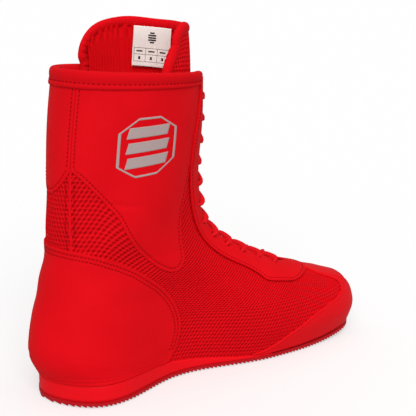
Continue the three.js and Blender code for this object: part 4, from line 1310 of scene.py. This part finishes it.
def collar():
    """Knitted band folded over the rim, padded, with one row of sewing above its lower edge."""
    end = float(angle_at(TOP_LEVEL, 15))
    angles = np.linspace(-end, end, 320)
    profile = np.array(COLLAR)
    middle_of = profile.mean(0)
    rings = []
    for a in angles:
        from_end = (end - abs(a)) / 2.2
        round_end = math.sqrt(max(0.0, 1 - (1 - min(1.0, from_end + 0.04)) ** 2))
        swell = 1 + 0.035 * math.sin(a * 0.31) + 0.03 * math.sin(a * 0.83 + 1)
        off = middle_of[0] + (profile[:, 0] - middle_of[0]) * mix(0.35, 1, round_end)
        off = np.where(profile[:, 0] > 1.0, off * swell, off)
        lev = middle_of[1] + (profile[:, 1] - middle_of[1]) * mix(0.8, 1, round_end)
        rings.append(over(lev, a, off))
    made = loft("collar_band", np.array(rings), collar_knit)
    row = np.linspace(-end + 2, end - 2, 400)
    stitch_lines["collar"].append(over(8.845, row, 1.42))
    return rides(made, "boot", "binding_fabric", "collar_binding")


LINING_FACE = -4.2


def lining():
    """Soft cloth inside the shaft and round the foot, open at the throat."""
    angles = [0, 14, 28, 42, 56, 70, 84, 98, 112, 124, 134, 142]
    under = [0, 11, 22, 33, 44, 54, 63, 72, 80, 86, 91, 95]
    edge = [8.97, 8.6, 8.2, 7.7, 7.3, 6.9, 6.5, 6.1, 5.7, 5.3, 4.9, 4.5, 4.15, 3.8]
    low = [98, 101, 104, 108, 112, 116, 119, 122, 125, 129, 134, 140, 146, 152]
    top = [(8.97, a) for a in angles] + [(t, float(angle_at(t, PANEL_EDGE + 1))) for t in edge]
    top += [(3.45, 161), (3.32, 170), (3.3, 180)]
    bottom = [(BOTTOM, a) for a in [*under, *low, 158, 169, 180]]
    both = [np.concatenate([(np.array(q) * (1, -1))[::-1], q[1:]]) for q in (top, bottom)]
    steps = np.linspace(0, len(both[0]) - 1, 240)
    high, low = [np.stack([np.interp(steps, np.arange(len(q)), way) for way in q.T], -1) for q in both]
    share = (1 - (1 - np.linspace(0, 1, 60)) ** 1.2)[:, None]
    places = mix(low[:, None], high[:, None], share)
    t, a = places[..., 0], places[..., 1]
    creases = 0.25 * np.sin(9 * t + 0.05 * a) * np.sin(0.13 * a + t)
    outer = over(t, a, LINING_FACE)
    inner = over(t, a, LINING_FACE - 1 + creases)
    made = slab("lining_cloth", outer, inner, lining_cloth)
    return rides(made, "boot", "lining_fabric", "lining")


# ---------------------------------------------------------------- tongue

TONGUE_LOW_LEVEL = 3.42
# Offsets of the tongue's mesh, of its knit and of its binding
MESH_FACE, MESH_BACK, KNIT_BACK, KNIT_FACE, BINDING_AT = -7.6, -9.4, -9.6, -10.9, -9.0
FLAP_HEIGHT, FLAP_SHORT, FLAP_FALL = 35, 5.6, 2.6
FLAP_DRAW = 14


def tongue_span(t):
    share = ease(3.5, 9, t) ** 0.8
    return mix(150, 66, share), mix(210, 256, share)


def flap_top(across):
    """Height of the free edge: a wide round corner on the outer side, a tighter one on the inner side."""
    outer_near, inner_near = np.clip(across / 0.25, 0, 1), np.clip((1 - across) / 0.14, 0, 1)
    outer_corner = mix(0.10, 1, np.sqrt(1 - (1 - outer_near) ** 2))
    inner_corner = mix(0.55, 1, np.sqrt(1 - (1 - inner_near) ** 2))
    return (FLAP_HEIGHT - FLAP_SHORT) * np.minimum(outer_corner, inner_corner) - FLAP_FALL * across


def tongue_bulge(t, a):
    return 3 * (1 - ease(7.6, 8.6, t)) * (1 - ease(8, 19, np.abs(a - 180)))


def tongue_place(across, up, offset):
    """A point of the tongue: up runs from 0 at its root to 1 at the rim and on to 2 at its free edge."""
    t = mix(TONGUE_LOW_LEVEL, 9.0, np.clip(up, 0, 1))
    low, high = tongue_span(t)
    a = mix(low, high, across)
    a = a - FLAP_DRAW * across**3 * np.clip(up - 0.75, 0, 1.25)
    p = over(t, a, offset + tongue_bulge(t, a))
    rise = np.clip(up - 1, 0, 1) * (flap_top(across) + 3)
    lean = np.clip(up - 1, 0, 1)
    p[..., 2] += rise
    p[..., 0] -= 1.5 * lean**2
    return p


def tongue_grid(cols, rows_low, rows_high, edge=0.012):
    across = np.linspace(edge, 1 - edge, cols)
    up = np.concatenate([np.linspace(0, 1, rows_low)[:-1], np.linspace(1, 1.93, rows_high)])
    return np.meshgrid(across, up, indexing="ij")


def bends(made, slot, *nodes):
    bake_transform(made)
    if nodes:
        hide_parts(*nodes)
    return made


def tongue():
    across, up = tongue_grid(230, 240, 70)
    pad = 0.5 * np.sin(np.pi * np.clip(across, 0, 1)) ** 0.5
    outer = tongue_place(across, up, MESH_FACE + pad)
    inner = tongue_place(across, up, MESH_BACK)
    made = slab("tongue_mesh", outer, inner, upper_mesh)
    u, v = np.meshgrid(run_along(outer[:, 260]), run_along(outer[115]), indexing="ij")
    face = np.stack([u, v, 0 * u], -1).reshape(-1, 3)
    put_vector(made, "cloth", np.concatenate([face, face]))
    run_nodes(made, OPENINGS, Pitch=PITCH, Row=ROW, Depth=0.7 * MM, Material=upper_mesh)
    return bends(made, "upper_mesh", "tongue_base", "tongue_flap")


RIB = 2.4


def tongue_lining():
    """Ribbed knit on the tongue's inner face, gathered where the binding holds it."""
    across, up = tongue_grid(440, 60, 46, edge=0.02)
    way = run_along(tongue_place(across[:, 80], up[:, 80], -10.5))[:, None]
    ribs = 0.42 * np.abs(np.sin(np.pi * way / RIB)) ** 0.7
    gather = np.clip((up - 1.66) / 0.2, 0, 1) * np.sin(way * 1.25 + 1.2 * np.sin(way * 0.31))
    crease = 0.9 * np.exp(-(((way - way.max() * 0.235) / 1.6) ** 2)) * np.clip(up - 0.8, 0, 1)
    outer = tongue_place(across, up, KNIT_BACK)
    inner = tongue_place(across, up, KNIT_FACE - ribs - gather + crease)
    made = slab("tongue_rib_knit", outer, inner, rib_knit)
    return bends(made, "rib_knit", "tongue_base_lining", "tongue_flap_lining")


BINDING_HALF = (3.9, 2.9)


def tongue_binding():
    """Soft rolled binding round the tongue's free edge, puckered along its inner side."""
    edge = (0.86, 0.94, 1.0)
    top = (1 - np.cos(np.linspace(0, np.pi, 41))) / 2
    places = [*((0.0, up) for up in edge), *((across, 2.0) for across in top)]
    places += [(1.0, up) for up in edge[::-1]]
    path = spline([tongue_place(across, up, BINDING_AT) for across, up in places], 420)
    ahead = unit(np.gradient(path, axis=0))
    out = (path - (path[:, 0].mean(), 0, 0)) * (1, 1, 0)
    out = unit(across_only(out, ahead))
    run = run_along(path)[-1] * np.linspace(0, 1, len(path))[:, None]
    around = np.linspace(0, 2 * np.pi, 25)[:-1]
    puckers = np.sin(run * 1.35 + 1.1 * np.sin(run * 0.37)) * np.clip(-np.sin(around), 0, 1)
    swell = 1 + 0.05 * np.sin(run * 0.21) + 0.10 * puckers
    rings = oval_rings(path, np.cross(ahead, out), out, BINDING_HALF, around, swell)
    made = loft("tongue_binding_roll", rings, binding_knit)
    return bends(made, "binding_fabric", "tongue_binding")


# ---------------------------------------------------------------- label, badges and inside

LABEL_ANGLE = 135
LABEL_SIZE = 29.0
LABEL_TILT = 5
LABEL_OFFSET, LABEL_THICK = -13.1, 0.35
LABEL_RULE = 0.22
PRINT_FACE, PRINT_BACK = 0.46, 0.30


def size_label():
    """Woven tape label, sewn along its top edge, with plain rules in place of words."""
    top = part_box("size_label")[1].z / MM
    angles = np.linspace(100, 170, 141)
    line = (surface(TOP_LEVEL, angles) + outward(TOP_LEVEL, angles) * LABEL_OFFSET) * (1, 1, 0)
    run = run_along(line)
    run -= np.interp(LABEL_ANGLE, angles, run)
    turn = math.radians(LABEL_TILT)

    def at(across, down, lift):
        """Across from the label's outer edge, down from its top, lifted off its face towards the leg."""
        s = (across - LABEL_SIZE / 2) * math.cos(turn) - down * math.sin(turn)
        down = down * math.cos(turn) + across * math.sin(turn)
        x, y = (np.interp(s, run, line[:, k]) for k in (0, 1))
        gx, gy = (np.interp(s + 0.5, run, line[:, k]) - np.interp(s - 0.5, run, line[:, k]) for k in (0, 1))
        off = lift + 0.03 * down + 0.25 * np.sin(down * 0.25)
        to_leg = np.where(gy > 0, 1, -1) * off / np.hypot(gx, gy)
        return np.stack([x - to_leg * gy, y + to_leg * gx, top - down], -1)

    across, down = np.meshgrid(*[np.linspace(0, LABEL_SIZE, 40)] * 2, indexing="ij")
    made = slab("size_label_tape", at(across, down, LABEL_THICK), at(across, down, 0.0), satin_tape)
    rides(made, "size_label", "label_fabric", "size_label")

    def bar(left, right, high, low):
        """A printed bar between two places across and two places down."""
        cols, rows = (max(2, int(size) + 2) for size in (right - left, low - high))
        a, d = np.meshgrid(np.linspace(left, right, cols), np.linspace(high, low, rows), indexing="ij")
        return at(a, d, PRINT_FACE), at(a, d, PRINT_BACK)

    bars = [bar(1.2, 27.8, y, y + LABEL_RULE) for y in (15.6, 20.2, 25.4)]
    bars += [bar(x, x + LABEL_RULE, 15.6, 25.6) for x in (1.2, 9.8, 18.6, 27.6)]
    bars += [bar(x, x + 4.6, 17.5, 18.5) for x in (3.0, 12.0, 20.6)]
    bars += [bar(x, x + 1.6, 21.9, 24.0) for x in (4.6, 13.4, 22.2)]
    for k, half in enumerate((1.6, 3.0, 3.0, 3.0, 1.6)):
        bars.append(bar(14.2 - half, 14.2 + half, 4.0 + 1.7 * k, 5.1 + 1.7 * k))
    marks = printed("size_label_print", bars, black_print, smooth=False)
    return rides(marks, "size_label", "label_fabric")


BADGE = {"level": 7.92, "angle": 87, "half_up": 0.45, "half_round": 24}


BADGE_BAND = 0.09
BADGE_BARS = ((-0.66, -0.30), (-0.16, 0.20), (0.34, 0.70))


def badge(side):
    """Plain eight-sided printed field with an outline and three slanted bars."""

    def strip(left, right, low, high, cols, rows):
        """A thin field between x = left(y) and x = right(y); x and y run from -1 to 1 over the badge."""
        y = np.linspace(low, high, rows)
        x = mix(left(y), right(y), np.linspace(0, 1, cols)[:, None])
        t = BADGE["level"] + BADGE["half_up"] * y + 0 * x
        a = side * (BADGE["angle"] + BADGE["half_round"] * x)
        return over(t, a, 0.86), over(t, a, 0.70)

    def width(y):
        return np.interp(np.abs(y), [0, 0.55, 1], [0.92, 0.92, 0.30])

    def slant(start, low):
        return lambda y: start + 0.22 * (y - low)

    def beside(s, share):
        return lambda y: s * width(y) + share * BADGE_BAND

    fields = [strip(beside(s, -0.5), beside(s, 0.5), -1, 1, 4, 60) for s in (-1, 1)]
    for low, high in ((-1.0, -0.93), (0.93, 1.0)):
        fields.append(strip(lambda y: -width(y), width, low, high, 14, 4))
    for low, high in BADGE_BARS:
        fields.append(strip(slant(-0.70, low), slant(0.62, low), low, high, 40, 14))
    name = "badge_inner" if side < 0 else "badge_outer"
    return rides(printed(name + "_print", fields, grey_print), "boot", "badge_print", name)


# ---------------------------------------------------------------- the whole boot

ripple_outsole()
midsole()
rides(foot_plate("footbed", -8.5, 2.8, 6.3, footbed_cloth, crown=2.0), "boot", "footbed_foam", "sock_liner")
side_panel(-1)
side_panel(1)
back_panel()
heel_counter()
toe_cap()
vamp(-1)
vamp(1)
rear_insert()
rear_seam(-1)
rear_seam(1)
eyestay()
lace()
collar()
lining()
tongue()
tongue_lining()
tongue_binding()
size_label()
badge(-1)
badge(1)

for name, pitch, length, thread, slot in (("panel", 2.7, 1.9, 0.75, "upper_overlay"),
                                          ("collar", 3.4, 2.3, 0.85, "binding_fabric")):
    rides(stitch_piece(name + "_stitching", stitch_lines[name], pitch, length, thread), "boot", slot)

for node, material in (("insole_board", fibre_board), ("heel_stiffener", stiff_sheet),
                       ("toe_puff", stiff_sheet), ("lace_tip_inner", lace_end), ("lace_tip_outer", lace_end)):
    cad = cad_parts[node]
    cad.data.materials.clear()
    cad.data.materials.append(material)
